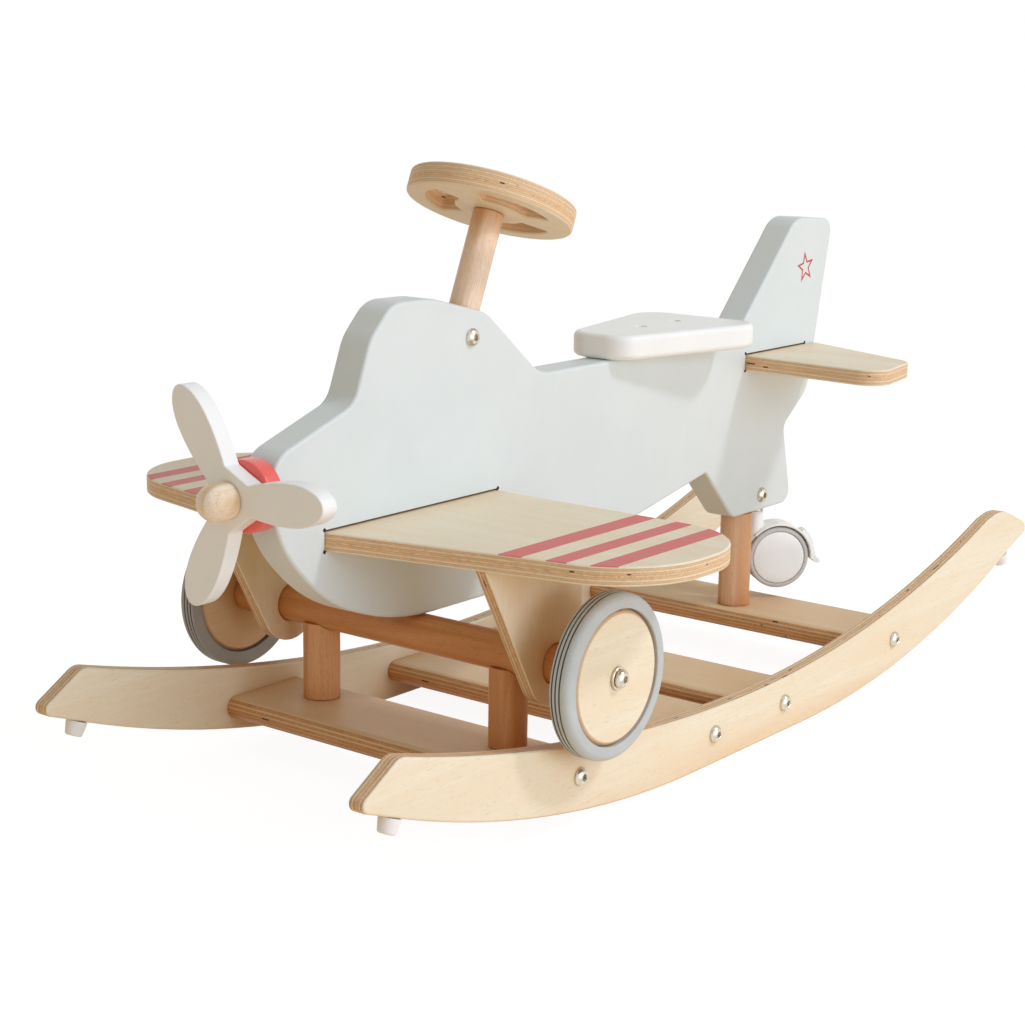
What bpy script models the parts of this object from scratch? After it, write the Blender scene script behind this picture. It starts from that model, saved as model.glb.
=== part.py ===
"""Ride-on airplane for a toddler, on its rocker base.

The nose points to -Y and the wings spread along X. The origin is on the floor under the middle of
the rockers' length. The airplane is laid out from its front axle, the base from the floor.
"""
from math import acos, asin, atan2, cos, pi, radians, sin, sqrt, tan

import bmesh
import bpy
from mathutils import Matrix, Vector

# Running gaps and rounding
GAP = 0.0003                      # between pieces that touch
EDGE_ROUND = 0.0018               # sanded edges of the plywood
PAINT_ROUND = 0.0024              # softer edges of the painted boards

# Front axle and the airplane's place over the floor
AXLE_Y = -0.2193
AXLE_Z = 0.102
AXLE_DIAMETER = 0.025
AXLE_HALF_LENGTH = 0.1503

# Rocker base
ROCKER_SPACING = 0.250            # between the inner faces
ROCKER_THICKNESS = 0.012
ROCKER_DEPTH = 0.039              # at the middle
ROCKER_FRONT_REACH = 0.4233
ROCKER_REAR_REACH = 0.4187
FLAT_CENTRE_Y = -0.0168           # level stretch of the sole
FLAT_LENGTH = 0.139
SOLE_RADIUS = 0.865
TOP_FRONT_RADIUS = SOLE_RADIUS * 1.5711    # the top edges are flatter bows than the sole
TOP_REAR_RADIUS = SOLE_RADIUS * 1.2717
FRONT_NOTCH_LENGTH = 0.036        # sloping cut of the front end, along Y
FRONT_TIP_ROUND = 0.005
REAR_TIP_LENGTH = 0.0465          # sloping end of the rear tip, along Y
REAR_TIP_HEIGHT = 0.0060
BOARD_WIDTH = 0.072
BOARD_THICKNESS = 0.015
OUTER_BOARD_TOP = 0.0408
INNER_BOARD_TOP = 0.029
FRONT_BOARD_Y = AXLE_Y - 0.0095
MID_FRONT_BOARD_Y = AXLE_Y + 0.1545
MID_REAR_BOARD_Y = AXLE_Y + 0.246
REAR_BOARD_Y = AXLE_Y + 0.408
FOOT_TOP_DIAMETER = 0.0134
FOOT_BOTTOM_DIAMETER = 0.0112
FOOT_HEIGHT = 0.0098
FRONT_FOOT_SETBACK = 0.0335       # from the rocker's ends
REAR_FOOT_SETBACK = 0.0360

# Beech posts
POST_DIAMETER = 0.025
FRONT_POST_X = 0.0803
REAR_POST_Y = AXLE_Y + 0.3954
SADDLE_DEPTH = 0.0045             # how far the front posts' saddles rise round the axle
ROD_DIAMETER = 0.006
ROD_HEAD_DIAMETER = 0.011
ROD_HEAD_HEIGHT = 0.002
ROD_GRIP = 0.009                  # rod's depth in what stands on the post

# Fuselage board
FUSELAGE_THICKNESS = 0.025
NOSE_Y = AXLE_Y - 0.1395
BACK_Z = AXLE_Z + 0.1567
LEG_BOTTOM_Z = AXLE_Z + 0.0143
LEG_REAR_Y = AXLE_Y + 0.4585

# Wing, tailplane and struts
WING_TOP_Z = AXLE_Z + 0.0836
WING_THICKNESS = 0.012
WING_REACH = 0.221                # from the middle to each tip
WING_ROOT_FRONT_Y = AXLE_Y - 0.0950
WING_TIP_FRONT_Y = AXLE_Y - 0.0500
WING_REAR_Y = AXLE_Y + 0.072
WING_TIP_ROUND = 0.064
TAILPLANE_TOP_Z = AXLE_Z + 0.142
TAILPLANE_THICKNESS = 0.012
TAILPLANE_HALF_SPAN = 0.138
TAILPLANE_FRONT_Y = AXLE_Y + 0.380          # at the fuselage
TAILPLANE_TIP_FRONT_Y = AXLE_Y + 0.3715
TAIL_SLOT_REAR_Y = AXLE_Y + 0.4690
TAILPLANE_TIP_REAR_Y = AXLE_Y + 0.4385
TAILPLANE_ROOT_REAR_Y = AXLE_Y + 0.485
STRUT_OUTER_X = 0.117
STRUT_THICKNESS = 0.009
STRUT_BOSS_RADIUS = 0.0265
STRUT_TOP_LENGTH = 0.0965

# Front wheels
WHEEL_CENTRE_X = AXLE_HALF_LENGTH + 0.0073
WHEEL_DISC_THICKNESS = 0.012
WHEEL_DISC_RADIUS = 0.0424
TYRE_RADIUS = 0.052
TYRE_WIDTH = 0.0134
TYRE_GROOVE = 0.0011
WHEEL_BOLT_DIAMETER = 0.006
WHEEL_WASHER_DIAMETER = 0.0145
WHEEL_WASHER_THICKNESS = 0.0018

# Button-head bolts
BOLT_HEAD_DIAMETER = 0.0118
BOLT_HEAD_HEIGHT = 0.0042
BOLT_SHANK_DIAMETER = 0.006
BOLT_SOCKET_WIDTH = 0.0042
ROCKER_BOLT_GRIP = 0.022          # length of shank in the cross board

# Seat
SEAT_THICKNESS = 0.018
SEAT_FRONT_Y = AXLE_Y + 0.1965
SEAT_REAR_Y = AXLE_Y + 0.3395
SEAT_FRONT_HALF_WIDTH = 0.0245
SEAT_REAR_HALF_WIDTH = 0.0625
SEAT_CORNER_ROUND = 0.021
SEAT_SCREW_Y = (AXLE_Y + 0.254, AXLE_Y + 0.298)
SEAT_SCREW_HEAD_DIAMETER = 0.008
SEAT_SCREW_SHANK_DIAMETER = 0.004
SEAT_SCREW_LENGTH = 0.034

# Steering column and wheel
COLUMN_TILT = radians(22.2)
COLUMN_DIAMETER = 0.0205
COLUMN_BOLT_Y = AXLE_Y + 0.0435
COLUMN_BOLT_Z = AXLE_Z + 0.1885
COLUMN_BURIED = 0.018             # below the cross bolt
COLUMN_RISE = 0.0835              # from the cross bolt to the wheel
STEERING_RADIUS = 0.0557
STEERING_THICKNESS = 0.0145
STEERING_TURN = radians(5.0)
SPOKE_HOLE_INNER = 0.0235
SPOKE_HOLE_OUTER = 0.0430
SPOKE_HOLE_HALF_ANGLE = radians(39.0)
STEERING_BOLT_LENGTH = 0.036

# Propeller
PROPELLER_Z = AXLE_Z + 0.1125
SPACER_THICKNESS = 0.0115
SPACER_RADIUS = 0.022
BLADE_THICKNESS = 0.012
BLADE_ROUND = 0.0010
BLADE_REACH = 0.0755
BLADE_ROOT_HALF_WIDTH = 0.0085
BLADE_HALF_WIDTH = 0.0129
BLADE_WIDEST = 0.55               # of the way from the hub to the tip
BLADE_FIRST_ANGLE = radians(4.0)
HUB_RADIUS = 0.0135
DOME_RADIUS = 0.0112
DOME_SHANK = 0.0097
PROPELLER_PIN_DIAMETER = 0.006
PROPELLER_PIN_GRIP = 0.030

# Tail bolt and caster
TAIL_BOLT_Y = AXLE_Y + 0.411
TAIL_BOLT_Z = AXLE_Z + 0.0268
CASTER_Y = AXLE_Y + 0.4235
CASTER_HEADING = radians(42.0)    # trail direction, from +Y towards +X
CASTER_TRAIL = 0.0186
CASTER_WHEEL_Z = AXLE_Z - 0.0275
CASTER_WHEEL_RADIUS = 0.025
CASTER_WHEEL_WIDTH = 0.0078
CASTER_TREAD_DEPTH = 0.0037
CASTER_WEB_THICKNESS = 0.0042
CASTER_STEM_DIAMETER = 0.008
CASTER_STEM_GRIP = 0.030
CASTER_COLLAR_DIAMETER = 0.0135
CASTER_COLLAR_HEIGHT = 0.003
CASTER_PIVOT_DIAMETER = 0.005
CASTER_PIVOT_DEPTH = 0.009
CASTER_AXLE_DIAMETER = 0.004
HOOD_WALL = 0.0020
HOOD_CLEARANCE = 0.0013
PEDAL_WIDTH = 0.012

BIRCH = ("birch_plywood", (0.84, 0.72, 0.53), 0.50, 0.0)
BEECH = ("beech_dowel", (0.72, 0.46, 0.28), 0.45, 0.0)
MINT = ("pale_mint_paint", (0.76, 0.80, 0.77), 0.45, 0.0)
WHITE = ("white_paint", (0.90, 0.89, 0.87), 0.40, 0.0)
RED = ("red_paint", (0.72, 0.10, 0.09), 0.40, 0.0)
RUBBER = ("grey_rubber", (0.45, 0.48, 0.49), 0.65, 0.0)
NICKEL = ("nickel_plated_steel", (0.62, 0.56, 0.48), 0.28, 1.0)
WHITE_PLASTIC = ("white_plastic", (0.88, 0.88, 0.86), 0.35, 0.0)


# Scene helpers

for old in list(bpy.data.objects):
    bpy.data.objects.remove(old, do_unlink=True)

parts = bpy.data.collections.new("ride_on_airplane")
cutters = bpy.data.collections.new("cutters")
bpy.context.scene.collection.children.link(parts)
bpy.context.scene.collection.children.link(cutters)


def material(look):
    """Plain Principled material of one finish, made once."""
    name, colour, roughness, metallic = look
    found = bpy.data.materials.get(name)
    if found:
        return found
    made = bpy.data.materials.new(name)
    made.use_nodes = True
    shader = made.node_tree.nodes["Principled BSDF"]
    shader.inputs["Base Color"].default_value = (*colour, 1.0)
    shader.inputs["Roughness"].default_value = roughness
    shader.inputs["Metallic"].default_value = metallic
    return made


def keep(name, mesh, look, frame=None):
    """Puts a mesh in the part's collection as one named piece."""
    piece = bpy.data.objects.new(name, mesh)
    mesh.name = name
    mesh.materials.clear()
    mesh.materials.append(material(look))
    if frame is not None:
        piece.matrix_world = frame
    parts.objects.link(piece)
    return piece


def attach(piece, parent):
    """Parents a piece where it stands."""
    piece.parent = parent
    piece.matrix_parent_inverse = parent.matrix_world.inverted()


def cut(piece, mesh, frame):
    """Cuts a mesh, placed by its frame, out of a piece."""
    tool = bpy.data.objects.new(piece.name + "_cutter", mesh)
    tool.matrix_world = frame
    tool.hide_render = True
    tool.display_type = "WIRE"
    cutters.objects.link(tool)
    boolean = piece.modifiers.new("cut", "BOOLEAN")
    boolean.operation = "DIFFERENCE"
    boolean.solver = "EXACT"
    boolean.object = tool


def round_edges(piece, width, segments=1):
    """Rounds the sharp edges of a board."""
    bevel = piece.modifiers.new("rounded_edges", "BEVEL")
    bevel.width = width
    bevel.segments = segments
    bevel.limit_method = "ANGLE"
    bevel.angle_limit = radians(50.0)
    bevel.use_clamp_overlap = True


# Frames that stand a flat outline up in the airplane
ALONG_X = Matrix(((0, 0, 1, 0), (1, 0, 0, 0), (0, 1, 0, 0), (0, 0, 0, 1)))      # outline (y, z)
ALONG_Y = Matrix(((1, 0, 0, 0), (0, 0, -1, 0), (0, 1, 0, 0), (0, 0, 0, 1)))     # outline (x, z)


def at(x, y, z):
    return Matrix.Translation(Vector((x, y, z)))


def facing(direction):
    """Turns local +Z to a direction."""
    return Vector(direction).to_track_quat("Z", "Y").to_matrix().to_4x4()


# Outlines

def arc(centre, radius, start, end, count):
    """Points on an arc, both ends included."""
    turn = (end - start) / count
    return [(centre[0] + radius * cos(start + turn * i), centre[1] + radius * sin(start + turn * i))
            for i in range(count + 1)]


def rounded(corners, step=radians(12.0)):
    """Closed outline from corners (a, b, fillet radius)."""
    points = []
    for i, (a, b, radius) in enumerate(corners):
        here = Vector((a, b))
        before = Vector(corners[i - 1][:2]) - here
        after = Vector(corners[(i + 1) % len(corners)][:2]) - here
        before.normalize()
        after.normalize()
        inside = acos(max(-1.0, min(1.0, before.dot(after))))
        turn = pi - inside
        if radius < 1e-6 or turn < radians(0.5):
            points.append((a, b))
            continue
        reach = radius / tan(inside / 2)
        middle = (before + after).normalized()
        centre = here + middle * (radius / sin(inside / 2))
        first = here + before * reach - centre
        last = here + after * reach - centre
        start = atan2(first.y, first.x)
        sweep = (atan2(last.y, last.x) - start + pi) % (2 * pi) - pi
        points += arc(centre, radius, start, start + sweep, max(2, round(turn / step)))
    return points


def flat(outlines, thickness):
    """Solid board from one outer outline and any inner ones, centred on its thickness."""
    curve = bpy.data.curves.new("outline", "CURVE")
    curve.dimensions = "2D"
    curve.fill_mode = "BOTH"
    curve.extrude = thickness / 2
    for outline in outlines:
        spline = curve.splines.new("POLY")
        spline.points.add(len(outline) - 1)
        for point, (a, b) in zip(spline.points, outline):
            point.co = (a, b, 0.0, 1.0)
        spline.use_cyclic_u = True
    guide = bpy.data.objects.new("outline", curve)
    bpy.context.scene.collection.objects.link(guide)
    bpy.context.view_layer.update()
    mesh = bpy.data.meshes.new_from_object(guide.evaluated_get(bpy.context.evaluated_depsgraph_get()))
    bpy.data.objects.remove(guide, do_unlink=True)
    bpy.data.curves.remove(curve)
    work = bmesh.new()
    work.from_mesh(mesh)
    bmesh.ops.remove_doubles(work, verts=work.verts, dist=1e-6)
    bmesh.ops.dissolve_limit(work, angle_limit=radians(0.5), verts=work.verts, edges=work.edges,
                             delimit={"NORMAL"})
    bmesh.ops.recalc_face_normals(work, faces=work.faces)
    work.to_mesh(mesh)
    work.free()
    return mesh


def rod(radius, low, high, sides=24):
    """Plain cylinder along Z."""
    work = bmesh.new()
    bmesh.ops.create_cone(work, cap_ends=True, segments=sides, radius1=radius, radius2=radius,
                          depth=high - low, matrix=Matrix.Translation((0, 0, (low + high) / 2)))
    mesh = bpy.data.meshes.new("rod")
    work.to_mesh(mesh)
    work.free()
    mesh.shade_smooth()
    mesh.set_sharp_from_angle(angle=radians(40.0))
    return mesh


def box(size, centre=(0.0, 0.0, 0.0)):
    work = bmesh.new()
    bmesh.ops.create_cube(work, size=1.0)
    bmesh.ops.scale(work, vec=size, verts=work.verts)
    bmesh.ops.translate(work, vec=centre, verts=work.verts)
    mesh = bpy.data.meshes.new("box")
    work.to_mesh(mesh)
    work.free()
    return mesh


def turned(name, profile, look, frame, sides=28, closed=False):
    """Piece turned round its local Z from a profile (radius, height), run from the top down."""
    mesh = bpy.data.meshes.new(name)
    edges = [(i, i + 1) for i in range(len(profile) - 1)]
    if closed:
        edges.append((len(profile) - 1, 0))
    mesh.from_pydata([(radius, 0.0, height) for radius, height in profile], edges, [])
    piece = keep(name, mesh, look, frame)
    screw = piece.modifiers.new("turned", "SCREW")
    screw.axis = "Z"
    screw.steps = sides
    screw.render_steps = sides
    screw.use_merge_vertices = True
    screw.merge_threshold = 0.00005
    screw.use_smooth_shade = True
    return piece


def ring(name, profile, look, frame, sides=36):
    """Turned piece whose profile closes on itself, such as a tyre or a washer."""
    return turned(name, profile, look, frame, sides, True)


def drill(piece, radius, frame, low, high, sides=20):
    cut(piece, rod(radius, low, high, sides), frame)


def bolt(name, frame, length, look=NICKEL):
    """Button-head bolt with a hexagon socket; its head stands on local z = 0 and faces +Z."""
    head = BOLT_HEAD_DIAMETER / 2
    shank = BOLT_SHANK_DIAMETER / 2
    lip = 0.25 * BOLT_HEAD_HEIGHT
    dome = [(0.0, BOLT_HEAD_HEIGHT)]
    for i in range(1, 4):
        angle = i * pi / 6
        dome.append((head * sin(angle), lip + (BOLT_HEAD_HEIGHT - lip) * cos(angle)))
    piece = turned(name, dome + [(head, GAP), (shank, GAP), (shank, -length), (0.0, -length)], look, frame, 14)
    socket = rod(BOLT_SOCKET_WIDTH / 2 / cos(pi / 6), BOLT_HEAD_HEIGHT * 0.45, BOLT_HEAD_HEIGHT * 1.5, 6)
    cut(piece, socket, frame)
    return piece


def wheel_profile(radius, bore, half_width, chamfer):
    """Disc with chamfered rims, from its top bore edge round to its bottom one."""
    return [(bore, half_width), (radius - chamfer, half_width), (radius, half_width - chamfer),
            (radius, chamfer - half_width), (radius - chamfer, -half_width), (bore, -half_width)]


# Rocker sides

def sole_height(y):
    """Height of the rockers' sole: level in the middle, a large arc to either end."""
    past = max(0.0, abs(y - FLAT_CENTRE_Y) - FLAT_LENGTH / 2)
    return SOLE_RADIUS - sqrt(SOLE_RADIUS ** 2 - past ** 2)


def top_height(y):
    radius = TOP_FRONT_RADIUS if y < FLAT_CENTRE_Y else TOP_REAR_RADIUS
    away = y - FLAT_CENTRE_Y
    return ROCKER_DEPTH + radius - sqrt(radius ** 2 - away ** 2)


def sole_slope(y):
    past = max(0.0, abs(y - FLAT_CENTRE_Y) - FLAT_LENGTH / 2)
    return asin(past / SOLE_RADIUS) * (1 if y > FLAT_CENTRE_Y else -1)


def rocker_outline():
    front = -ROCKER_FRONT_REACH
    rear = ROCKER_REAR_REACH
    notch = front + FRONT_NOTCH_LENGTH
    tip_z = sole_height(front + 0.012) + 0.0045
    corners = []
    for i in range(15):
        y = front + 0.018 + (rear - 0.028 - front - 0.018) * i / 14
        corners.append((y, sole_height(y), 0.0))
    slope = sole_slope(rear)
    up = Vector((-sin(slope), cos(slope)))
    along = Vector((cos(slope), sin(slope)))
    heel = Vector((rear, sole_height(rear))) - up * 0.0030
    tip = heel + up * (0.0025 + REAR_TIP_HEIGHT) + along * 0.0026
    corners.append((heel.x, heel.y, 0.004))
    corners.append((tip.x, tip.y, 0.009))
    corners.append((rear - REAR_TIP_LENGTH, top_height(rear - REAR_TIP_LENGTH) - 0.0046, 0.055))
    for i in range(14):
        y = rear - REAR_TIP_LENGTH - 0.026 + (notch + 0.022 - rear + REAR_TIP_LENGTH + 0.026) * i / 13
        corners.append((y, top_height(y), 0.0))
    corners.append((notch, top_height(notch), 0.012))
    corners.append((front - 0.0015, tip_z, FRONT_TIP_ROUND))
    return rounded(corners, radians(15.0))


ROCKER_X = ROCKER_SPACING / 2 + GAP + ROCKER_THICKNESS / 2
BOARDS = (
    ("front", FRONT_BOARD_Y, OUTER_BOARD_TOP, AXLE_Y),
    ("mid_front", MID_FRONT_BOARD_Y, INNER_BOARD_TOP, MID_FRONT_BOARD_Y),
    ("mid_rear", MID_REAR_BOARD_Y, INNER_BOARD_TOP, MID_REAR_BOARD_Y),
    ("rear", REAR_BOARD_Y, OUTER_BOARD_TOP, REAR_BOARD_Y),
)
SIDES = (("left", -1), ("right", 1))

for side, sign in SIDES:
    rocker = keep("rocker_" + side, flat([rocker_outline()], ROCKER_THICKNESS), BIRCH,
                  at(sign * ROCKER_X, 0, 0) @ ALONG_X)
    round_edges(rocker, EDGE_ROUND)
    for place, board_y, top, bolt_y in BOARDS:
        bolt_z = top - BOARD_THICKNESS / 2
        inward = facing((sign, 0, 0))
        face = at(sign * (ROCKER_X + ROCKER_THICKNESS / 2), bolt_y, bolt_z) @ inward
        drill(rocker, BOLT_SHANK_DIAMETER / 2 + GAP, face, -2 * ROCKER_THICKNESS, ROCKER_THICKNESS, 12)
        bolt("rocker_bolt_" + place + "_" + side, face, ROCKER_THICKNESS + ROCKER_BOLT_GRIP)
    for place, foot_y in (("front", FRONT_FOOT_SETBACK - ROCKER_FRONT_REACH),
                          ("rear", ROCKER_REAR_REACH - REAR_FOOT_SETBACK)):
        slope = sole_slope(foot_y)
        normal = Vector((0, sin(slope), -cos(slope)))
        seat = at(sign * ROCKER_X, foot_y, sole_height(foot_y)) @ facing(normal)
        wide = FOOT_TOP_DIAMETER / 2
        narrow = FOOT_BOTTOM_DIAMETER / 2
        turned("rocker_foot_" + place + "_" + side,
               [(0, FOOT_HEIGHT), (narrow - 0.0015, FOOT_HEIGHT), (narrow, FOOT_HEIGHT - 0.0015),
                (wide, 0.0025), (wide, GAP), (0, GAP)], WHITE_PLASTIC, seat, 14)

# Cross boards between the rockers

nose = BOARD_THICKNESS * 0.48
for place, board_y, top, bolt_y in BOARDS:
    half = BOARD_WIDTH / 2
    outline = rounded([(-half, -BOARD_THICKNESS / 2, nose), (half, -BOARD_THICKNESS / 2, nose),
                       (half, BOARD_THICKNESS / 2, nose), (-half, BOARD_THICKNESS / 2, nose)], radians(30.0))
    board = keep("cross_board_" + place, flat([outline], ROCKER_SPACING), BIRCH,
                 at(0, board_y, top - BOARD_THICKNESS / 2) @ ALONG_X)
    for side, sign in SIDES:
        end = at(sign * ROCKER_SPACING / 2, bolt_y, top - BOARD_THICKNESS / 2) @ facing((sign, 0, 0))
        drill(board, BOLT_SHANK_DIAMETER / 2 + GAP, end, -ROCKER_BOLT_GRIP - 2 * GAP, ROCKER_BOLT_GRIP, 12)

# Beech posts, each with the rod that ties it down

axle_low = AXLE_Z - AXLE_DIAMETER / 2
board_low = OUTER_BOARD_TOP - BOARD_THICKNESS


def tie_rod(name, x, y, top):
    """Screw rod from under the board up through the post, its flat head let into the board."""
    shank = ROD_DIAMETER / 2
    head = ROD_HEAD_DIAMETER / 2
    turned(name, [(0, top), (shank, top), (shank, board_low + ROD_HEAD_HEIGHT + GAP),
                  (head, board_low + ROD_HEAD_HEIGHT + GAP), (head, board_low + GAP), (0, board_low + GAP)],
           NICKEL, at(x, y, 0), 12)


def bore_for_rod(piece, x, y, top):
    drill(piece, ROD_DIAMETER / 2 + GAP, at(x, y, 0), board_low - 0.01, top + GAP, 12)


front_board = bpy.data.objects["cross_board_front"]
rear_board = bpy.data.objects["cross_board_rear"]
for side, sign in SIDES:
    x = sign * FRONT_POST_X
    saddle_top = axle_low + SADDLE_DEPTH
    post = keep("front_post_" + side, rod(POST_DIAMETER / 2, OUTER_BOARD_TOP + GAP, saddle_top), BEECH,
                at(x, AXLE_Y, 0))
    drill(post, AXLE_DIAMETER / 2 + GAP, at(x, AXLE_Y, AXLE_Z) @ facing((1, 0, 0)),
          -POST_DIAMETER, POST_DIAMETER, 48)
    bore_for_rod(post, x, AXLE_Y, AXLE_Z)
    bore_for_rod(front_board, x, AXLE_Y, OUTER_BOARD_TOP + 0.01)
    drill(front_board, ROD_HEAD_DIAMETER / 2 + GAP, at(x, AXLE_Y, 0), board_low - 0.01,
          board_low + ROD_HEAD_HEIGHT + 2 * GAP, 12)
    tie_rod("post_rod_front_" + side, x, AXLE_Y, axle_low + ROD_GRIP)

rear_post = keep("rear_post", rod(POST_DIAMETER / 2, OUTER_BOARD_TOP + GAP, LEG_BOTTOM_Z - GAP), BEECH,
                 at(0, REAR_POST_Y, 0))
bore_for_rod(rear_post, 0, REAR_POST_Y, LEG_BOTTOM_Z + 0.01)
bore_for_rod(rear_board, 0, REAR_POST_Y, OUTER_BOARD_TOP + 0.01)
drill(rear_board, ROD_HEAD_DIAMETER / 2 + GAP, at(0, REAR_POST_Y, 0), board_low - 0.01,
      board_low + ROD_HEAD_HEIGHT + 2 * GAP, 12)
tie_rod("post_rod_rear", 0, REAR_POST_Y, LEG_BOTTOM_Z + ROD_GRIP)

# Fuselage board

BELLY_Z = AXLE_Z + AXLE_DIAMETER / 2 + GAP


def fuselage_outline():
    """Side view of the fuselage, as (y, z, fillet radius), from the nose's top corner down."""
    y, z = AXLE_Y, AXLE_Z
    return rounded([
        (NOSE_Y, z + 0.1334, 0.022),
        (NOSE_Y, z + 0.0856, 0.075),
        (y - 0.0932, z + 0.0370, 0.125),
        (y - 0.0267, BELLY_Z, 0.200),
        (y + 0.1080, BELLY_Z, 0.150),
        (y + 0.3290, z + 0.0561, 0.0015),
        (y + 0.3700, LEG_BOTTOM_Z, 0.014),
        (LEG_REAR_Y, LEG_BOTTOM_Z, 0.011),
        (LEG_REAR_Y - 0.0160, z + 0.0785, 0.009),
        (y + 0.4775, z + 0.1040, 0.022),
        (y + 0.5065, z + 0.2405, 0.011),
        (y + 0.4490, z + 0.2445, 0.026),
        (y + 0.3645, BACK_Z, 0.012),
        (y + 0.1180, BACK_Z, 0.030),
        (y + 0.0600, z + 0.2030, 0.034),
        (y + 0.0050, z + 0.2166, 0.060),
        (y - 0.0330, z + 0.2172, 0.024),
        (y - 0.0535, z + 0.1960, 0.030),
        (y - 0.0678, z + 0.1583, 0.018),
    ], radians(14.0))


fuselage = keep("fuselage", flat([fuselage_outline()], FUSELAGE_THICKNESS), MINT, ALONG_X)
round_edges(fuselage, PAINT_ROUND)

slot_play = 2 * GAP
wing_middle_z = WING_TOP_Z - WING_THICKNESS / 2
cut(fuselage, box((2 * FUSELAGE_THICKNESS, WING_REAR_Y - WING_ROOT_FRONT_Y + slot_play, WING_THICKNESS + slot_play)),
    at(0, (WING_REAR_Y + WING_ROOT_FRONT_Y) / 2, wing_middle_z))
tail_middle_z = TAILPLANE_TOP_Z - TAILPLANE_THICKNESS / 2
slot_front = TAILPLANE_FRONT_Y - GAP
slot_rear = TAIL_SLOT_REAR_Y
cut(fuselage, box((2 * FUSELAGE_THICKNESS, slot_rear - slot_front, TAILPLANE_THICKNESS + slot_play)),
    at(0, (slot_rear + slot_front) / 2, tail_middle_z))
bore_for_rod(fuselage, 0, REAR_POST_Y, LEG_BOTTOM_Z + ROD_GRIP)

# Wing and tailplane, each one board through its slot

wing_outline = rounded([
    (-FUSELAGE_THICKNESS / 2, WING_ROOT_FRONT_Y, 0.0),
    (FUSELAGE_THICKNESS / 2, WING_ROOT_FRONT_Y, 0.0),
    (WING_REACH, WING_TIP_FRONT_Y, WING_TIP_ROUND),
    (WING_REACH, WING_REAR_Y, WING_TIP_ROUND * 0.9),
    (-WING_REACH, WING_REAR_Y, WING_TIP_ROUND * 0.9),
    (-WING_REACH, WING_TIP_FRONT_Y, WING_TIP_ROUND),
], radians(10.0))
wing = keep("wing", flat([wing_outline], WING_THICKNESS), BIRCH, at(0, 0, wing_middle_z))
round_edges(wing, EDGE_ROUND)

tail_outline = rounded([
    (-TAILPLANE_HALF_SPAN, TAILPLANE_TIP_FRONT_Y, 0.018),
    (-FUSELAGE_THICKNESS / 2, TAILPLANE_FRONT_Y, 0.0),
    (FUSELAGE_THICKNESS / 2, TAILPLANE_FRONT_Y, 0.0),
    (TAILPLANE_HALF_SPAN, TAILPLANE_TIP_FRONT_Y, 0.018),
    (TAILPLANE_HALF_SPAN - 0.011, TAILPLANE_TIP_REAR_Y, 0.018),
    (FUSELAGE_THICKNESS / 2, TAILPLANE_ROOT_REAR_Y, 0.0),
    (-FUSELAGE_THICKNESS / 2, TAILPLANE_ROOT_REAR_Y, 0.0),
    (0.011 - TAILPLANE_HALF_SPAN, TAILPLANE_TIP_REAR_Y, 0.018),
], radians(15.0))
tailplane = keep("tailplane", flat([tail_outline], TAILPLANE_THICKNESS), BIRCH, at(0, 0, tail_middle_z))
round_edges(tailplane, EDGE_ROUND)
notch_length = 0.040
cut(tailplane, box((FUSELAGE_THICKNESS + 2 * GAP, notch_length, 2 * TAILPLANE_THICKNESS)),
    at(0, TAIL_SLOT_REAR_Y - GAP + notch_length / 2, tail_middle_z))

# Axle beam and the two struts that hang it from the wing

axle = keep("axle_beam", rod(AXLE_DIAMETER / 2, -AXLE_HALF_LENGTH, AXLE_HALF_LENGTH, 32), BEECH,
            at(0, AXLE_Y, AXLE_Z) @ facing((1, 0, 0)))
for side, sign in SIDES:
    drill(axle, ROD_DIAMETER / 2 + GAP, at(sign * FRONT_POST_X, AXLE_Y, axle_low), -0.01, ROD_GRIP + GAP, 12)
    end = at(sign * AXLE_HALF_LENGTH, AXLE_Y, AXLE_Z) @ facing((sign, 0, 0))
    drill(axle, WHEEL_BOLT_DIAMETER / 2 + GAP, end, -0.0355, 0.01, 12)

strut_top = WING_TOP_Z - WING_THICKNESS - GAP - AXLE_Z
boss = STRUT_BOSS_RADIUS
front_corner = Vector((boss - STRUT_TOP_LENGTH, strut_top))
tangent = atan2(front_corner.y, front_corner.x) + acos(boss / front_corner.length)
strut_outline = [(boss, strut_top), tuple(front_corner)] + arc((0, 0), boss, tangent, 2 * pi, 14)
for side, sign in SIDES:
    x = sign * (STRUT_OUTER_X - STRUT_THICKNESS / 2)
    strut = keep("strut_" + side, flat([strut_outline], STRUT_THICKNESS), BIRCH, at(x, AXLE_Y, AXLE_Z) @ ALONG_X)
    round_edges(strut, EDGE_ROUND / 2)
    drill(strut, AXLE_DIAMETER / 2 + GAP, at(x, AXLE_Y, AXLE_Z) @ facing((1, 0, 0)),
          -STRUT_THICKNESS, STRUT_THICKNESS, 32)

# Front wheels

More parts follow.
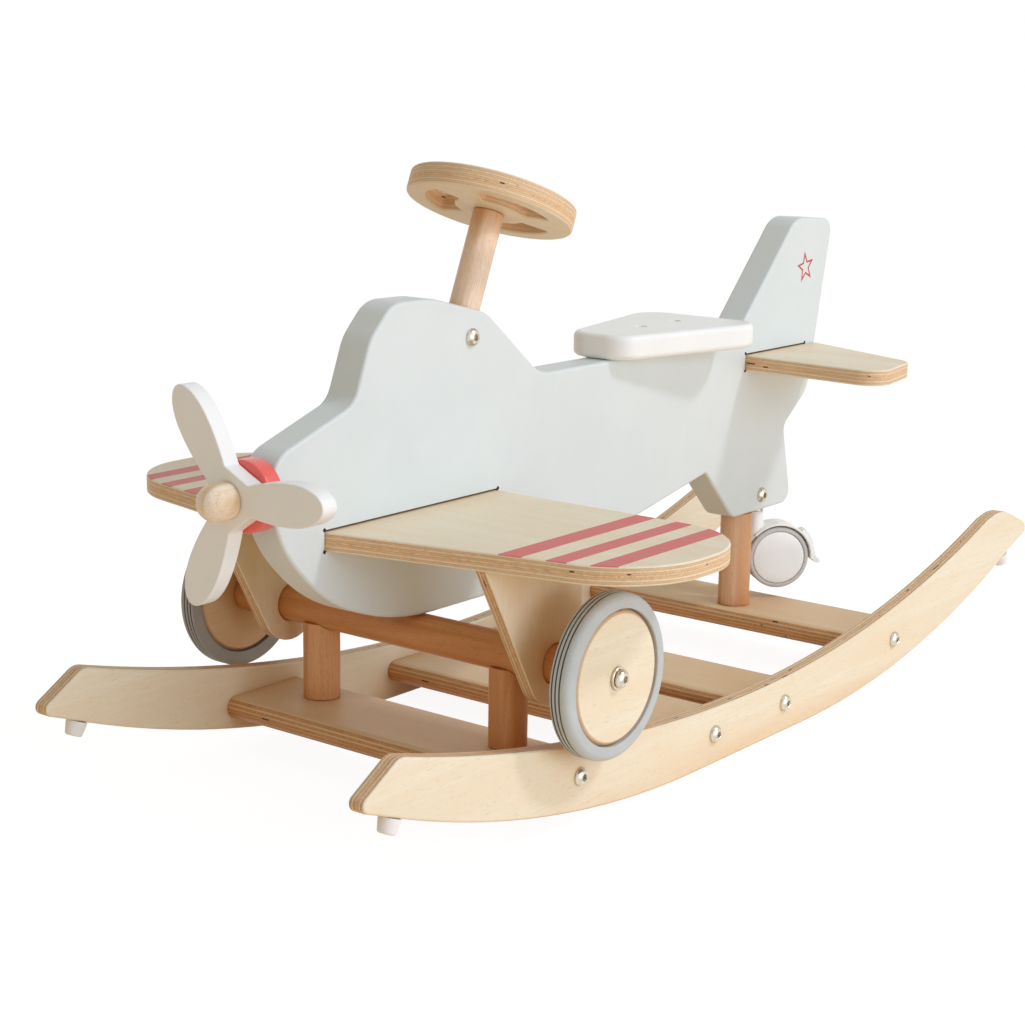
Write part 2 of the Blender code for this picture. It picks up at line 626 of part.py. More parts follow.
for side, sign in SIDES:
    hub = at(sign * WHEEL_CENTRE_X, AXLE_Y, AXLE_Z) @ facing((sign, 0, 0))
    half = WHEEL_DISC_THICKNESS / 2
    bore = WHEEL_BOLT_DIAMETER / 2 + GAP
    ring("wheel_disc_" + side, wheel_profile(WHEEL_DISC_RADIUS, bore, half, 0.0018), BIRCH, hub, 28)
    inner = WHEEL_DISC_RADIUS + GAP
    side_wall = TYRE_WIDTH / 2
    shoulder = 0.0025
    tread = [(inner, side_wall), (TYRE_RADIUS - shoulder, side_wall), (TYRE_RADIUS - 0.0006, side_wall - 0.0012)]
    pitch = (TYRE_WIDTH - 2 * shoulder) / 3
    for i in range(3):
        rib = side_wall - shoulder - pitch * i
        tread.append((TYRE_RADIUS, rib))
        tread.append((TYRE_RADIUS, rib - 0.6 * pitch))
        if i < 2:
            tread.append((TYRE_RADIUS - TYRE_GROOVE, rib - 0.8 * pitch))
    tread += [(TYRE_RADIUS - 0.0006, 0.0012 - side_wall), (TYRE_RADIUS - shoulder, -side_wall), (inner, -side_wall)]
    ring("tyre_" + side, tread, RUBBER, hub, 28)
    face = half + GAP
    washer = WHEEL_WASHER_DIAMETER / 2
    top = face + WHEEL_WASHER_THICKNESS
    ring("wheel_washer_" + side, [(bore, top), (washer, top), (washer, face), (bore, face)], NICKEL, hub, 16)
    bolt("wheel_bolt_" + side, hub @ at(0, 0, top), WHEEL_CENTRE_X + top - AXLE_HALF_LENGTH + 0.033)

# Seat and its two screws

seat_outline = rounded([
    (-SEAT_FRONT_HALF_WIDTH, SEAT_FRONT_Y, SEAT_CORNER_ROUND),
    (SEAT_FRONT_HALF_WIDTH, SEAT_FRONT_Y, SEAT_CORNER_ROUND),
    (SEAT_REAR_HALF_WIDTH, SEAT_REAR_Y, SEAT_CORNER_ROUND),
    (-SEAT_REAR_HALF_WIDTH, SEAT_REAR_Y, SEAT_CORNER_ROUND),
], radians(18.0))
seat_low = BACK_Z + GAP
seat_top = seat_low + SEAT_THICKNESS
seat = keep("seat", flat([seat_outline], SEAT_THICKNESS), WHITE, at(0, 0, seat_low + SEAT_THICKNESS / 2))
round_edges(seat, 0.004, 2)
for place, y in zip(("front", "rear"), SEAT_SCREW_Y):
    head = SEAT_SCREW_HEAD_DIAMETER / 2
    shank = SEAT_SCREW_SHANK_DIAMETER / 2
    top = seat_top - 0.0008
    sink = top - 0.003
    turned("seat_screw_" + place, [(0, top), (head, top), (shank, sink), (shank, top - SEAT_SCREW_LENGTH),
                                   (0, top - SEAT_SCREW_LENGTH)], NICKEL, at(0, y, 0), 16)
    drill(seat, shank + GAP, at(0, y, 0), seat_low - 0.01, seat_top + 0.01, 12)
    drill(seat, head + GAP, at(0, y, 0), sink - GAP, seat_top + 0.01, 16)
    drill(fuselage, shank + GAP, at(0, y, 0), top - SEAT_SCREW_LENGTH - GAP, seat_low + 0.01, 12)

# Steering column, its cross bolt and the wheel that turns on its top

column = at(0, COLUMN_BOLT_Y, COLUMN_BOLT_Z) @ Matrix.Rotation(-COLUMN_TILT, 4, "X")
keep("steering_column", rod(COLUMN_DIAMETER / 2, -COLUMN_BURIED, COLUMN_RISE, 28), BEECH, column)
drill(fuselage, COLUMN_DIAMETER / 2 + GAP, column, -COLUMN_BURIED - GAP, COLUMN_RISE, 28)
half_fuselage = FUSELAGE_THICKNESS / 2
steering_column = bpy.data.objects["steering_column"]


def cross_bolt(name, y, z, bored):
    """Bolt right through the fuselage board, along X, with its head on the right side."""
    frame = at(half_fuselage, y, z) @ facing((1, 0, 0))
    bolt(name, frame, FUSELAGE_THICKNESS - 0.003)
    for piece in bored:
        drill(piece, BOLT_SHANK_DIAMETER / 2 + GAP, frame, GAP - FUSELAGE_THICKNESS + 0.0024, 0.02, 12)


cross_bolt("column_bolt", COLUMN_BOLT_Y, COLUMN_BOLT_Z, [fuselage, steering_column])

wheel_frame = column @ at(0, 0, COLUMN_RISE + GAP + STEERING_THICKNESS / 2) @ Matrix.Rotation(STEERING_TURN, 4, "Z")
rim = [(STEERING_RADIUS * cos(i * pi / 20), STEERING_RADIUS * sin(i * pi / 20)) for i in range(40)]
holes = []
for spoke in range(3):
    middle = radians(-90.0 + 60.0 + 120.0 * spoke)
    low_angle = middle - SPOKE_HOLE_HALF_ANGLE
    high_angle = middle + SPOKE_HOLE_HALF_ANGLE
    holes.append(arc((0, 0), SPOKE_HOLE_OUTER, low_angle, high_angle, 8)
                 + arc((0, 0), SPOKE_HOLE_INNER, high_angle, low_angle, 5))
steering_wheel = keep("steering_wheel", flat([rim] + holes, STEERING_THICKNESS), BIRCH, wheel_frame)
round_edges(steering_wheel, EDGE_ROUND)
drill(steering_wheel, BOLT_SHANK_DIAMETER / 2 + GAP, wheel_frame, -STEERING_THICKNESS, STEERING_THICKNESS, 12)
column_top = at(0, COLUMN_BOLT_Y, COLUMN_BOLT_Z) @ Matrix.Rotation(-COLUMN_TILT, 4, "X") @ at(0, 0, COLUMN_RISE)
bolt("steering_bolt", wheel_frame @ at(0, 0, STEERING_THICKNESS / 2), STEERING_BOLT_LENGTH)
drill(steering_column, BOLT_SHANK_DIAMETER / 2 + GAP, column_top,
      STEERING_THICKNESS - STEERING_BOLT_LENGTH - GAP, 0.01, 12)

# Propeller: spacer, blades, dome and pin

spacer_front = NOSE_Y - GAP - SPACER_THICKNESS
blades_rear = spacer_front - GAP
blades_front = blades_rear - BLADE_THICKNESS
pin_radius = PROPELLER_PIN_DIAMETER / 2


def ahead(y):
    """Frame on the propeller's axis with local +Z pointing forward."""
    return at(0, y, PROPELLER_Z) @ facing((0, -1, 0))


spacer_round = 0.0015
ring("propeller_spacer", [
    (pin_radius + GAP, SPACER_THICKNESS), (SPACER_RADIUS - spacer_round, SPACER_THICKNESS),
    (SPACER_RADIUS, SPACER_THICKNESS - spacer_round), (SPACER_RADIUS, 0.0), (pin_radius + GAP, 0.0),
], RED, ahead(NOSE_Y - GAP), 28)


def blade_half_width(reach):
    """Leaf shape: narrow at the hub, widest past the middle, round at the tip."""
    along = (reach - HUB_RADIUS) / (BLADE_REACH - HUB_RADIUS)
    swell = sin(pi * min(1.0, along / BLADE_WIDEST) / 2)
    leaf = BLADE_ROOT_HALF_WIDTH + (BLADE_HALF_WIDTH - BLADE_ROOT_HALF_WIDTH) * swell
    tip = max(0.0, (along - BLADE_WIDEST) / (1.0 - BLADE_WIDEST))
    return leaf * sqrt(max(0.0, 1.0 - tip ** 2.2))


def propeller_outline():
    points = []
    reaches = [HUB_RADIUS + (BLADE_REACH - HUB_RADIUS) * f for f in
               (0.06, 0.2, 0.35, 0.5, 0.62, 0.74, 0.84, 0.92, 0.97)]
    for blade in range(3):
        angle = BLADE_FIRST_ANGLE + blade * 2 * pi / 3
        outward = Vector((cos(angle), sin(angle)))
        across = Vector((-sin(angle), cos(angle)))
        lower = [outward * r - across * blade_half_width(r) for r in reaches]
        upper = [outward * r + across * blade_half_width(r) for r in reversed(reaches)]
        points += lower + [outward * BLADE_REACH] + upper
    return [(p.x, p.y) for p in points]


propeller = keep("propeller", flat([propeller_outline()], BLADE_THICKNESS), WHITE,
                 at(0, (blades_front + blades_rear) / 2, PROPELLER_Z) @ ALONG_Y)
round_edges(propeller, BLADE_ROUND)
dome_base = blades_front - GAP
dome_profile = [(0.0, DOME_SHANK + DOME_RADIUS)]
for i in range(1, 6):
    angle = i * pi / 10
    dome_profile.append((DOME_RADIUS * sin(angle), DOME_SHANK + DOME_RADIUS * cos(angle)))
dome_profile += [(DOME_RADIUS, 0.0), (0.0, 0.0)]
dome = turned("propeller_dome", dome_profile, BEECH, ahead(dome_base), 24)
pin_front = dome_base - DOME_SHANK * 0.8
pin_rear = NOSE_Y + PROPELLER_PIN_GRIP
pin_length = pin_rear - pin_front
turned("propeller_pin", [(0, 0), (pin_radius, 0), (pin_radius, -pin_length), (0, -pin_length)], NICKEL,
       ahead(pin_front), 16)
for piece in (propeller, dome, fuselage):
    drill(piece, pin_radius + GAP, ahead(pin_front - GAP), -pin_length - 2 * GAP, 0.0, 16)

# Tail bolt

cross_bolt("tail_bolt", TAIL_BOLT_Y, TAIL_BOLT_Z, [fuselage])

# Twin-wheel caster: local +X is the trail direction, the origin is under the tail leg

swivel = bpy.data.objects.new("caster_swivel", None)
swivel.empty_display_size = 0.02
swivel.location = (0, CASTER_Y, LEG_BOTTOM_Z)
swivel.rotation_euler = (0, 0, pi / 2 - CASTER_HEADING)
parts.objects.link(swivel)
bpy.context.view_layer.update()
swivel_frame = swivel.matrix_world.copy()
drill(fuselage, CASTER_STEM_DIAMETER / 2 + GAP, swivel_frame, -0.01, CASTER_STEM_GRIP + GAP, 16)

hub_z = CASTER_WHEEL_Z - LEG_BOTTOM_Z
collar_low = -GAP - CASTER_COLLAR_HEIGHT
stem = CASTER_STEM_DIAMETER / 2
collar = CASTER_COLLAR_DIAMETER / 2
pivot = CASTER_PIVOT_DIAMETER / 2
stem_piece = turned("caster_stem", [(0, CASTER_STEM_GRIP), (stem - 0.001, CASTER_STEM_GRIP), (stem, CASTER_STEM_GRIP - 0.001),
                       (stem, -GAP), (collar, -GAP), (collar, collar_low), (pivot, collar_low),
                       (pivot, collar_low - CASTER_PIVOT_DEPTH), (0, collar_low - CASTER_PIVOT_DEPTH)],
       NICKEL, swivel_frame, 16)
attach(stem_piece, swivel)

wheel_gap = CASTER_WEB_THICKNESS / 2 + GAP
caster_half_width = wheel_gap + CASTER_WHEEL_WIDTH
hood_inner = CASTER_WHEEL_RADIUS + HOOD_CLEARANCE
hood_outer = hood_inner + HOOD_WALL
hub_frame = swivel_frame @ at(CASTER_TRAIL, 0, hub_z) @ Matrix.Rotation(radians(-90.0), 4, "X").inverted()
hood_start = radians(-4.0)
hood_end = radians(119.0)
hood_top = collar_low - GAP
neck_x = -CASTER_TRAIL

# The hood is a side-view outline: a fender round the wheels with the neck under the stem's collar
fender = arc((0, 0), hood_outer, hood_start, radians(104.0), 10)
neck_z = hood_top - hub_z
fender_outline = fender + [(neck_x + collar, neck_z), (neck_x - collar, neck_z)] + \
    [(neck_x - collar, neck_z - 0.005)] + arc((0, 0), hood_inner, hood_end, hood_start, 12)
CASTER_SIDE = Matrix(((1, 0, 0, 0), (0, 0, -1, 0), (0, 1, 0, 0), (0, 0, 0, 1)))
side_frame = swivel_frame @ at(CASTER_TRAIL, 0, hub_z) @ CASTER_SIDE
hood = keep("caster_hood", flat([fender_outline], 2 * caster_half_width), WHITE_PLASTIC, side_frame)
round_edges(hood, 0.0008)
web_outline = arc((0, 0), hood_inner + HOOD_WALL / 2, radians(20.0), radians(112.0), 9) + \
    [(-0.006, -0.002), (-0.004, -0.006), (0.004, -0.006), (0.006, -0.002)]
web = bpy.data.objects.new("caster_web", flat([web_outline], CASTER_WEB_THICKNESS))
web.matrix_world = side_frame
web.hide_render = True
web.display_type = "WIRE"
cutters.objects.link(web)
union = hood.modifiers.new("web", "BOOLEAN")
union.operation = "UNION"
union.solver = "EXACT"
union.object = web
drill(hood, CASTER_AXLE_DIAMETER / 2 + GAP, side_frame, -CASTER_WEB_THICKNESS, CASTER_WEB_THICKNESS, 16)
drill(hood, pivot + GAP, swivel_frame, collar_low - CASTER_PIVOT_DEPTH - GAP, 0.0, 16)
attach(hood, swivel)

axle_radius = CASTER_AXLE_DIAMETER / 2
axle_half = caster_half_width - 0.003
caster_axle = turned("caster_axle", [(0, axle_half), (axle_radius, axle_half), (axle_radius, -axle_half),
                                     (0, -axle_half)], NICKEL, side_frame, 12)
attach(caster_axle, swivel)

for side, sign in SIDES:
    outward = side_frame @ (Matrix.Identity(4) if sign > 0 else Matrix.Rotation(pi, 4, "X"))
    frame = outward @ at(0, 0, wheel_gap)
    rim_radius = CASTER_WHEEL_RADIUS - CASTER_TREAD_DEPTH
    bore = axle_radius + GAP
    deep = axle_half - wheel_gap + GAP
    half_wheel = turned(
        "caster_wheel_" + side,
           [(0, CASTER_WHEEL_WIDTH), (rim_radius * 0.6, CASTER_WHEEL_WIDTH - 0.0002),
            (rim_radius - 0.001, CASTER_WHEEL_WIDTH - 0.0008), (rim_radius, CASTER_WHEEL_WIDTH - 0.0018),
            (rim_radius, 0), (bore, 0), (bore, deep), (0, deep)], WHITE_PLASTIC, frame, 24)
    attach(half_wheel, swivel)
    inner = rim_radius + GAP
    half_tread = ring(
        "caster_tread_" + side,
         [(inner, CASTER_WHEEL_WIDTH - 0.0008), (CASTER_WHEEL_RADIUS - 0.001, CASTER_WHEEL_WIDTH - 0.0012),
          (CASTER_WHEEL_RADIUS, CASTER_WHEEL_WIDTH - 0.0026), (CASTER_WHEEL_RADIUS, 0.001),
          (CASTER_WHEEL_RADIUS - 0.001, 0.0), (inner, 0.0)], RUBBER, frame, 24)
    attach(half_tread, swivel)

# Brake pedal: a curved lever hinged at the back of the hood
pedal_inner = hood_outer + GAP
pedal_outline = arc((0, 0), pedal_inner, radians(-4.0), radians(47.0), 6) + \
    [(0.0228, 0.0222), (0.0262, 0.0191), (0.0293, 0.0136), (0.0312, 0.0040), (0.0328, -0.0006),
     (0.0366, -0.0040), (0.0346, -0.0063), (0.0305, -0.0048)]
pedal = keep("brake_pedal", flat([pedal_outline], PEDAL_WIDTH), WHITE_PLASTIC, side_frame)
round_edges(pedal, 0.0006)
attach(pedal, swivel)
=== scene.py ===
"""Looks of the wooden ride-on airplane: varnished birch and beech, satin paint, rubber and nickel.

The sections follow the airplane as it is put together, from the rocker base up to the caster, and
end with the floor, the light and the camera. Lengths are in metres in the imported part's frame.
"""

from math import acos, asin, atan2, cos, pi, radians, sin, sqrt, tan

import bmesh
import bpy
from mathutils import Matrix, Quaternion, Vector


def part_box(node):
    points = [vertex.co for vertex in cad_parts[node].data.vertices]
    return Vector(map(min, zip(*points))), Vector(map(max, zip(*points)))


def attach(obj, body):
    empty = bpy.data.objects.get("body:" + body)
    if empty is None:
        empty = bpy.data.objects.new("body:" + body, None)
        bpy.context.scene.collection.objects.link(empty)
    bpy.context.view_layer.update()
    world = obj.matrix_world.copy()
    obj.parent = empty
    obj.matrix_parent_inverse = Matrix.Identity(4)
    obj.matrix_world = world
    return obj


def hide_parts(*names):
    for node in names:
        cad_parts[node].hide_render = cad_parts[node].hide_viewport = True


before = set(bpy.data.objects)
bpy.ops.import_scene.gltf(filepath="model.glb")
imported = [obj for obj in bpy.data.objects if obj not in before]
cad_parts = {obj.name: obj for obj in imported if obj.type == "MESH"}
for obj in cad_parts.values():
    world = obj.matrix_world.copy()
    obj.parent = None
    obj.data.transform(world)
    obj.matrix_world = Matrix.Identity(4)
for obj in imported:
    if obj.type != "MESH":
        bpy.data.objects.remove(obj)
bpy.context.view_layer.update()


# Rocker sides: two bows of 12 mm birch plywood, routed from one pattern, with the edges sanded round
# and a clear satin varnish. Everything else of the base is bolted between them.

ROCKER_PLIES = 9
ROCKER_FRONT_REACH = 0.4233
ROCKER_REAR_REACH = 0.4187
ROCKER_DEPTH = 0.039              # at the middle
FLAT_CENTRE_Y = -0.0168           # level stretch of the sole
FLAT_LENGTH = 0.139
SOLE_RADIUS = 0.865
TOP_FRONT_RADIUS = 1.359
TOP_REAR_RADIUS = 1.100
FRONT_CUT_LENGTH = 0.036          # sloping cut of the front end
REAR_TIP_LENGTH = 0.0465
REAR_TIP_HEIGHT = 0.0060
PLY_ROUNDING = 0.0017             # sanded edges of all the plywood

BIRCH_VENEER = (0.885, 0.825, 0.635)
BIRCH_VENEER_DARK = (0.865, 0.745, 0.53)
BIRCH_LONG_PLY = (0.85, 0.61, 0.35)
BIRCH_CROSS_PLY = (0.60, 0.335, 0.15)
BIRCH_GLUE = (0.30, 0.155, 0.075)
BIRCH_VOID = (0.07, 0.035, 0.02)
BIRCH_SHADE_STAIN = (0.82, 0.61, 0.42)  # painted shade: pieces that sit in shade are multiplied by a share of this
CORNER_SHADE_BROWN = (0.84, 0.62, 0.42) # painted shade: all wood is multiplied by this where pieces meet

OUTLINE_YZ = Matrix(((0, 0, 1, 0), (1, 0, 0, 0), (0, 1, 0, 0), (0, 0, 0, 1)))    # board across X
OUTLINE_XZ = Matrix(((1, 0, 0, 0), (0, 0, -1, 0), (0, 1, 0, 0), (0, 0, 0, 1)))   # board across Y


def at(x, y, z):
    return Matrix.Translation(Vector((x, y, z)))


def facing(direction):
    """Turns local +Z to a direction."""
    return Vector(direction).to_track_quat("Z", "Y").to_matrix().to_4x4()


def middle(node):
    low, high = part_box(node)
    return (low + high) / 2


def arc(centre, radius, start, end, step=radians(4.0)):
    """Points on an arc, both ends included."""
    count = max(3, round(abs(end - start) / step))
    turn = (end - start) / count
    return [(centre[0] + radius * cos(start + turn * i), centre[1] + radius * sin(start + turn * i))
            for i in range(count + 1)]


def rounded(corners):
    """Closed outline from corners (a, b, fillet radius)."""
    points = []
    for i, (a, b, radius) in enumerate(corners):
        here = Vector((a, b))
        before = (Vector(corners[i - 1][:2]) - here).normalized()
        after = (Vector(corners[(i + 1) % len(corners)][:2]) - here).normalized()
        inside = acos(max(-1.0, min(1.0, before.dot(after))))
        if radius < 1e-6 or pi - inside < radians(0.5):
            points.append((a, b))
            continue
        reach = radius / tan(inside / 2)
        centre = here + (before + after).normalized() * (radius / sin(inside / 2))
        first = here + before * reach - centre
        last = here + after * reach - centre
        start = atan2(first.y, first.x)
        sweep = (atan2(last.y, last.x) - start + pi) % (2 * pi) - pi
        points += arc(centre, radius, start, start + sweep)
    return points


def shaped(thing):
    """The mesh of a thing with its modifiers."""
    bpy.context.view_layer.update()
    return bpy.data.meshes.new_from_object(thing.evaluated_get(bpy.context.evaluated_depsgraph_get()))


def board(name, outlines, thickness, place, look, splits=()):
    """Board sawn to an outline, with any holes as further outlines. Its local Z is its thickness.
    Splits are angles of lines through its middle that part its faces, so that none goes round a hole."""
    curve = bpy.data.curves.new(name, "CURVE")
    curve.dimensions = "2D"
    curve.fill_mode = "BOTH"
    curve.extrude = thickness / 2
    for outline in outlines:
        spline = curve.splines.new("POLY")
        spline.points.add(len(outline) - 1)
        for point, (a, b) in zip(spline.points, outline):
            point.co = (a, b, 0.0, 1.0)
        spline.use_cyclic_u = True
    pattern = bpy.data.objects.new(name, curve)
    bpy.context.scene.collection.objects.link(pattern)
    mesh = shaped(pattern)
    bpy.data.objects.remove(pattern)
    bpy.data.curves.remove(curve)
    work = bmesh.new()
    work.from_mesh(mesh)
    bmesh.ops.remove_doubles(work, verts=work.verts, dist=1e-6)
    for angle in splits:
        whole = work.verts[:] + work.edges[:] + work.faces[:]
        cut = bmesh.ops.bisect_plane(work, geom=whole, dist=1e-5, plane_co=(0, 0, 0),
                                     plane_no=(-sin(angle), cos(angle), 0))
        for edge in cut["geom_cut"]:
            if isinstance(edge, bmesh.types.BMEdge):
                edge.seam = True
    bmesh.ops.dissolve_limit(work, angle_limit=radians(0.5), verts=work.verts, edges=work.edges,
                             delimit={"NORMAL", "SEAM"})
    bmesh.ops.recalc_face_normals(work, faces=work.faces)
    work.to_mesh(mesh)
    work.free()
    return stand(name, mesh, place, look)


def stand(name, mesh, place, look):
    """Puts a mesh in the scene as one piece with one finish."""
    mesh.name = name
    mesh.materials.clear()
    mesh.materials.append(look)
    piece = bpy.data.objects.new(name, mesh)
    piece.matrix_world = place
    bpy.context.scene.collection.objects.link(piece)
    bpy.context.view_layer.update()
    return piece


def even(piece):
    """Shades a piece's flats flat and its curves smooth."""
    normals = piece.modifiers.new("even_shading", "WEIGHTED_NORMAL")
    normals.weight = 100
    normals.keep_sharp = True
    return piece


def sand(piece, rounding, segments=3):
    """Rounds a board's sharp edges."""
    piece.data.shade_smooth()
    bevel = piece.modifiers.new("sanded_edges", "BEVEL")
    bevel.width = rounding
    bevel.segments = segments
    bevel.limit_method = "ANGLE"
    bevel.angle_limit = radians(40.0)
    bevel.use_clamp_overlap = False
    return even(piece)


def carve(piece, *tools):
    """Cuts tools' shapes out of a piece for good, with crisp edges, and puts the tools away."""
    for tool in tools:
        boolean = piece.modifiers.new("cut", "BOOLEAN")
        boolean.operation = "DIFFERENCE"
        boolean.solver = "EXACT"
        boolean.material_mode = "TRANSFER"
        boolean.object = tool
    cut_mesh = shaped(piece)
    piece.modifiers.clear()
    piece.data = cut_mesh
    cut_mesh.shade_smooth()
    cut_mesh.set_sharp_from_angle(angle=radians(32.0))
    for tool in tools:
        bpy.data.objects.remove(tool)
    return even(piece)


def fit(piece, body, slot, *nodes):
    """Fixes a piece to its body, over any solids that it stands for; the finish's slot that it is given is
    not used.
    """
    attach(piece, body)
    if nodes:
        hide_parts(*nodes)
    return piece


class Wire:
    """Output of a shader node. Sums and products of wires add Math nodes to their tree."""

    def __init__(self, socket):
        self.socket = socket

    def __add__(self, other):
        return calc("ADD", self, other)

    def __sub__(self, other):
        return calc("SUBTRACT", self, other)

    def __rsub__(self, other):
        return calc("SUBTRACT", other, self)

    def __mul__(self, other):
        return calc("MULTIPLY", self, other)

    def __truediv__(self, other):
        return calc("DIVIDE", self, other)


def feed(node, inputs):
    """Sets a node's inputs, each to a value or to the output of another node."""
    for key, value in inputs.items():
        value = getattr(value, "socket", value)
        if isinstance(value, bpy.types.NodeSocket):
            node.id_data.links.new(value, node.inputs[key])
        elif node.inputs[key].type == "RGBA":
            node.inputs[key].default_value = (*value, 1.0)
        else:
            node.inputs[key].default_value = value
    return node


def put(tree, kind, inputs, **settings):
    node = tree.nodes.new(kind)
    for key, value in settings.items():
        setattr(node, key, value)
    return feed(node, inputs)


def flow(kind, inputs, output=0, **settings):
    """Adds a node where its wires come from and gives the wire of one of its outputs."""
    tree = next(value.socket.id_data for value in inputs.values() if isinstance(value, Wire))
    return Wire(put(tree, kind, inputs, **settings).outputs[output])


def calc(operation, *values):
    return flow("ShaderNodeMath", dict(enumerate(values)), operation=operation)


def ease(value, low, high):
    """0 below low, 1 above high, smooth between."""
    return flow("ShaderNodeMapRange", {0: value, 1: low, 2: high}, interpolation_type="SMOOTHSTEP")


def colour_mix(factor, first, second, mode="MIX"):
    return flow("ShaderNodeMix", {0: factor, 6: first, 7: second}, 2, data_type="RGBA", blend_type=mode)


def vector(x, y, z):
    return flow("ShaderNodeCombineXYZ", {0: x, 1: y, 2: z})


def split(place):
    """The three coordinates of a place."""
    return [flow("ShaderNodeSeparateXYZ", {0: place}, axis) for axis in range(3)]


def stretch(place, x, y, z):
    return flow("ShaderNodeVectorMath", {0: place, 1: (x, y, z)}, operation="MULTIPLY")


def noise(place, scale=1.0, detail=2.0, distortion=0.0):
    return flow("ShaderNodeTexNoise", {"Vector": place, "Scale": scale, "Detail": detail,
                                       "Distortion": distortion})


def effect(name, inputs, outputs):
    """Empty node group with named sockets. Gives its tree, its inputs' wires and its last node."""
    tree = bpy.data.node_groups.new(name, "ShaderNodeTree")
    for side, sockets in (("INPUT", inputs), ("OUTPUT", outputs)):
        for socket, kind in sockets.items():
            tree.interface.new_socket(name=socket, in_out=side, socket_type="NodeSocket" + kind)
    given = tree.nodes.new("NodeGroupInput").outputs
    return tree, [Wire(given[socket]) for socket in inputs], tree.nodes.new("NodeGroupOutput")


def through(group, inputs):
    """Places an effect in the tree of its wires and gives the wires of its outputs."""
    tree = next(value.socket.id_data for value in inputs.values() if isinstance(value, Wire))
    return [Wire(output) for output in put(tree, "ShaderNodeGroup", inputs, node_tree=group).outputs]


WOOD_OUTPUTS = {"Color": "Color", "Roughness": "Float", "Height": "Float"}


def plywood_layers():
    """Birch plywood through and through: face grain, plies along and across in turn, glue, voids."""
    inputs = {"Vector": "Vector", "Thickness": "Float", "Plies": "Float", "Shade Stain": "Float",
              "Contrast": "Float"}
    tree, (place, thickness, plies, shade_stain, contrast), out = effect("plywood_layers", inputs, WOOD_OUTPUTS)
    ripple = (noise(stretch(place, 16, 16, 0)) - 0.5) * 0.5
    level = (split(place)[2] / thickness + 0.5) * plies + ripple
    level = calc("MAXIMUM", calc("MINIMUM", level, plies - 0.02), 0.02)
    ply = calc("FLOOR", level)
    half = plies * 0.5
    core = calc("LESS_THAN", calc("ABSOLUTE", level - half), half - 0.92)
    ply_tone = flow("ShaderNodeTexWhiteNoise", {"W": ply + 3.7}, noise_dimensions="1D")
    long_grain = noise(stretch(place, 28, 900, 900), detail=3.0)
    cross_grain = noise(stretch(place, 900, 90, 900), detail=3.0)
    blotch = noise(stretch(place, 60, 60, 300))
    figure = noise(stretch(place, 5, 42, 42), distortion=0.8)
    pores = ease(noise(stretch(place, 150, 1700, 1700), detail=1.0), 0.64, 0.74)

    veneer = colour_mix(ease(figure, 0.30, 0.68), BIRCH_VENEER_DARK, BIRCH_VENEER)
    veneer = colour_mix(ease(long_grain, 0.22, 0.60), BIRCH_VENEER_DARK, veneer)
    veneer = colour_mix(pores * 0.30, veneer, BIRCH_CROSS_PLY)
    long_ply = colour_mix(ease(long_grain, 0.20, 0.62), BIRCH_CROSS_PLY, BIRCH_LONG_PLY)
    long_ply = colour_mix(ply_tone * 0.55, long_ply, BIRCH_VENEER)
    cross_ply = colour_mix(ease(cross_grain, 0.25, 0.85), BIRCH_CROSS_PLY, BIRCH_LONG_PLY)
    cross_ply = colour_mix(ease(blotch, 0.45, 0.75) * 0.35, cross_ply, BIRCH_GLUE)
    cross_ply = colour_mix(contrast, BIRCH_LONG_PLY, cross_ply)
    inner = colour_mix(calc("MODULO", ply, 2.0), long_ply, cross_ply)
    near_glue = calc("ABSOLUTE", calc("FRACT", level) - 0.5)
    glue = ease(near_glue, 0.38, 0.48) * core
    inner = colour_mix(glue * 0.60, inner, BIRCH_GLUE)
    spots = flow("ShaderNodeVectorMath", {0: stretch(place, 85, 85, 0), 1: vector(0.0, 0.0, ply * 5.3)})
    void = ease(noise(spots, detail=0.0), 0.79, 0.81) * core * ease(0.5 - near_glue, 0.1, 0.25)
    inner = colour_mix(void, inner, BIRCH_VOID)
    colour = colour_mix(core, veneer, inner)
    # painted shade: a share of brown for pieces that sit in shade
    feed(out, {"Color": colour_mix(shade_stain, colour, BIRCH_SHADE_STAIN, "MULTIPLY"),
               "Roughness": long_grain * 0.16 + core * 0.08 + 0.40,
               "Height": long_grain * 0.25 - pores * 0.5 - glue * 0.5 - void * 3.0})
    return tree


def painted_corner_shade():
    """Painted shade: deepens the brown of wood where pieces meet, more than the studio's own shade does."""
    inputs = {"Color": "Color", "Reach": "Float", "Amount": "Float"}
    tree, (colour, reach, amount), out = effect("painted_corner_shade", inputs, {"Color": "Color"})
    open_sky = flow("ShaderNodeAmbientOcclusion", {"Distance": reach}, "AO", samples=8)
    corner_shaded = colour_mix(1.0, colour, CORNER_SHADE_BROWN, "MULTIPLY")
    feed(out, {"Color": colour_mix(ease(open_sky, 0.85, 0.15) * amount, colour, corner_shaded)})
    return tree


PLYWOOD_LAYERS = plywood_layers()
PAINTED_CORNER_SHADE = painted_corner_shade()


def places_on(look):
    """A finish's object coordinates."""
    return Wire(look.node_tree.nodes.new("ShaderNodeTexCoord").outputs["Object"])


def shader_of(look):
    return look.node_tree.nodes["Principled BSDF"]


def new_look(name, **sockets):
    """Material whose shader has the given plain values."""
    look = bpy.data.materials.new(name)
    look.use_nodes = True
    feed(shader_of(look), {socket.replace("_", " "): value for socket, value in sockets.items()})
    return look


def dress(look, colour, roughness, height, relief):
    """Gives a finish its colour, its roughness and its relief, in metres at its highest."""
    normal = flow("ShaderNodeBump", {"Strength": 1.0, "Distance": relief, "Height": height})
    feed(shader_of(look), {"Base Color": colour, "Roughness": roughness, "Normal": normal})
    return look


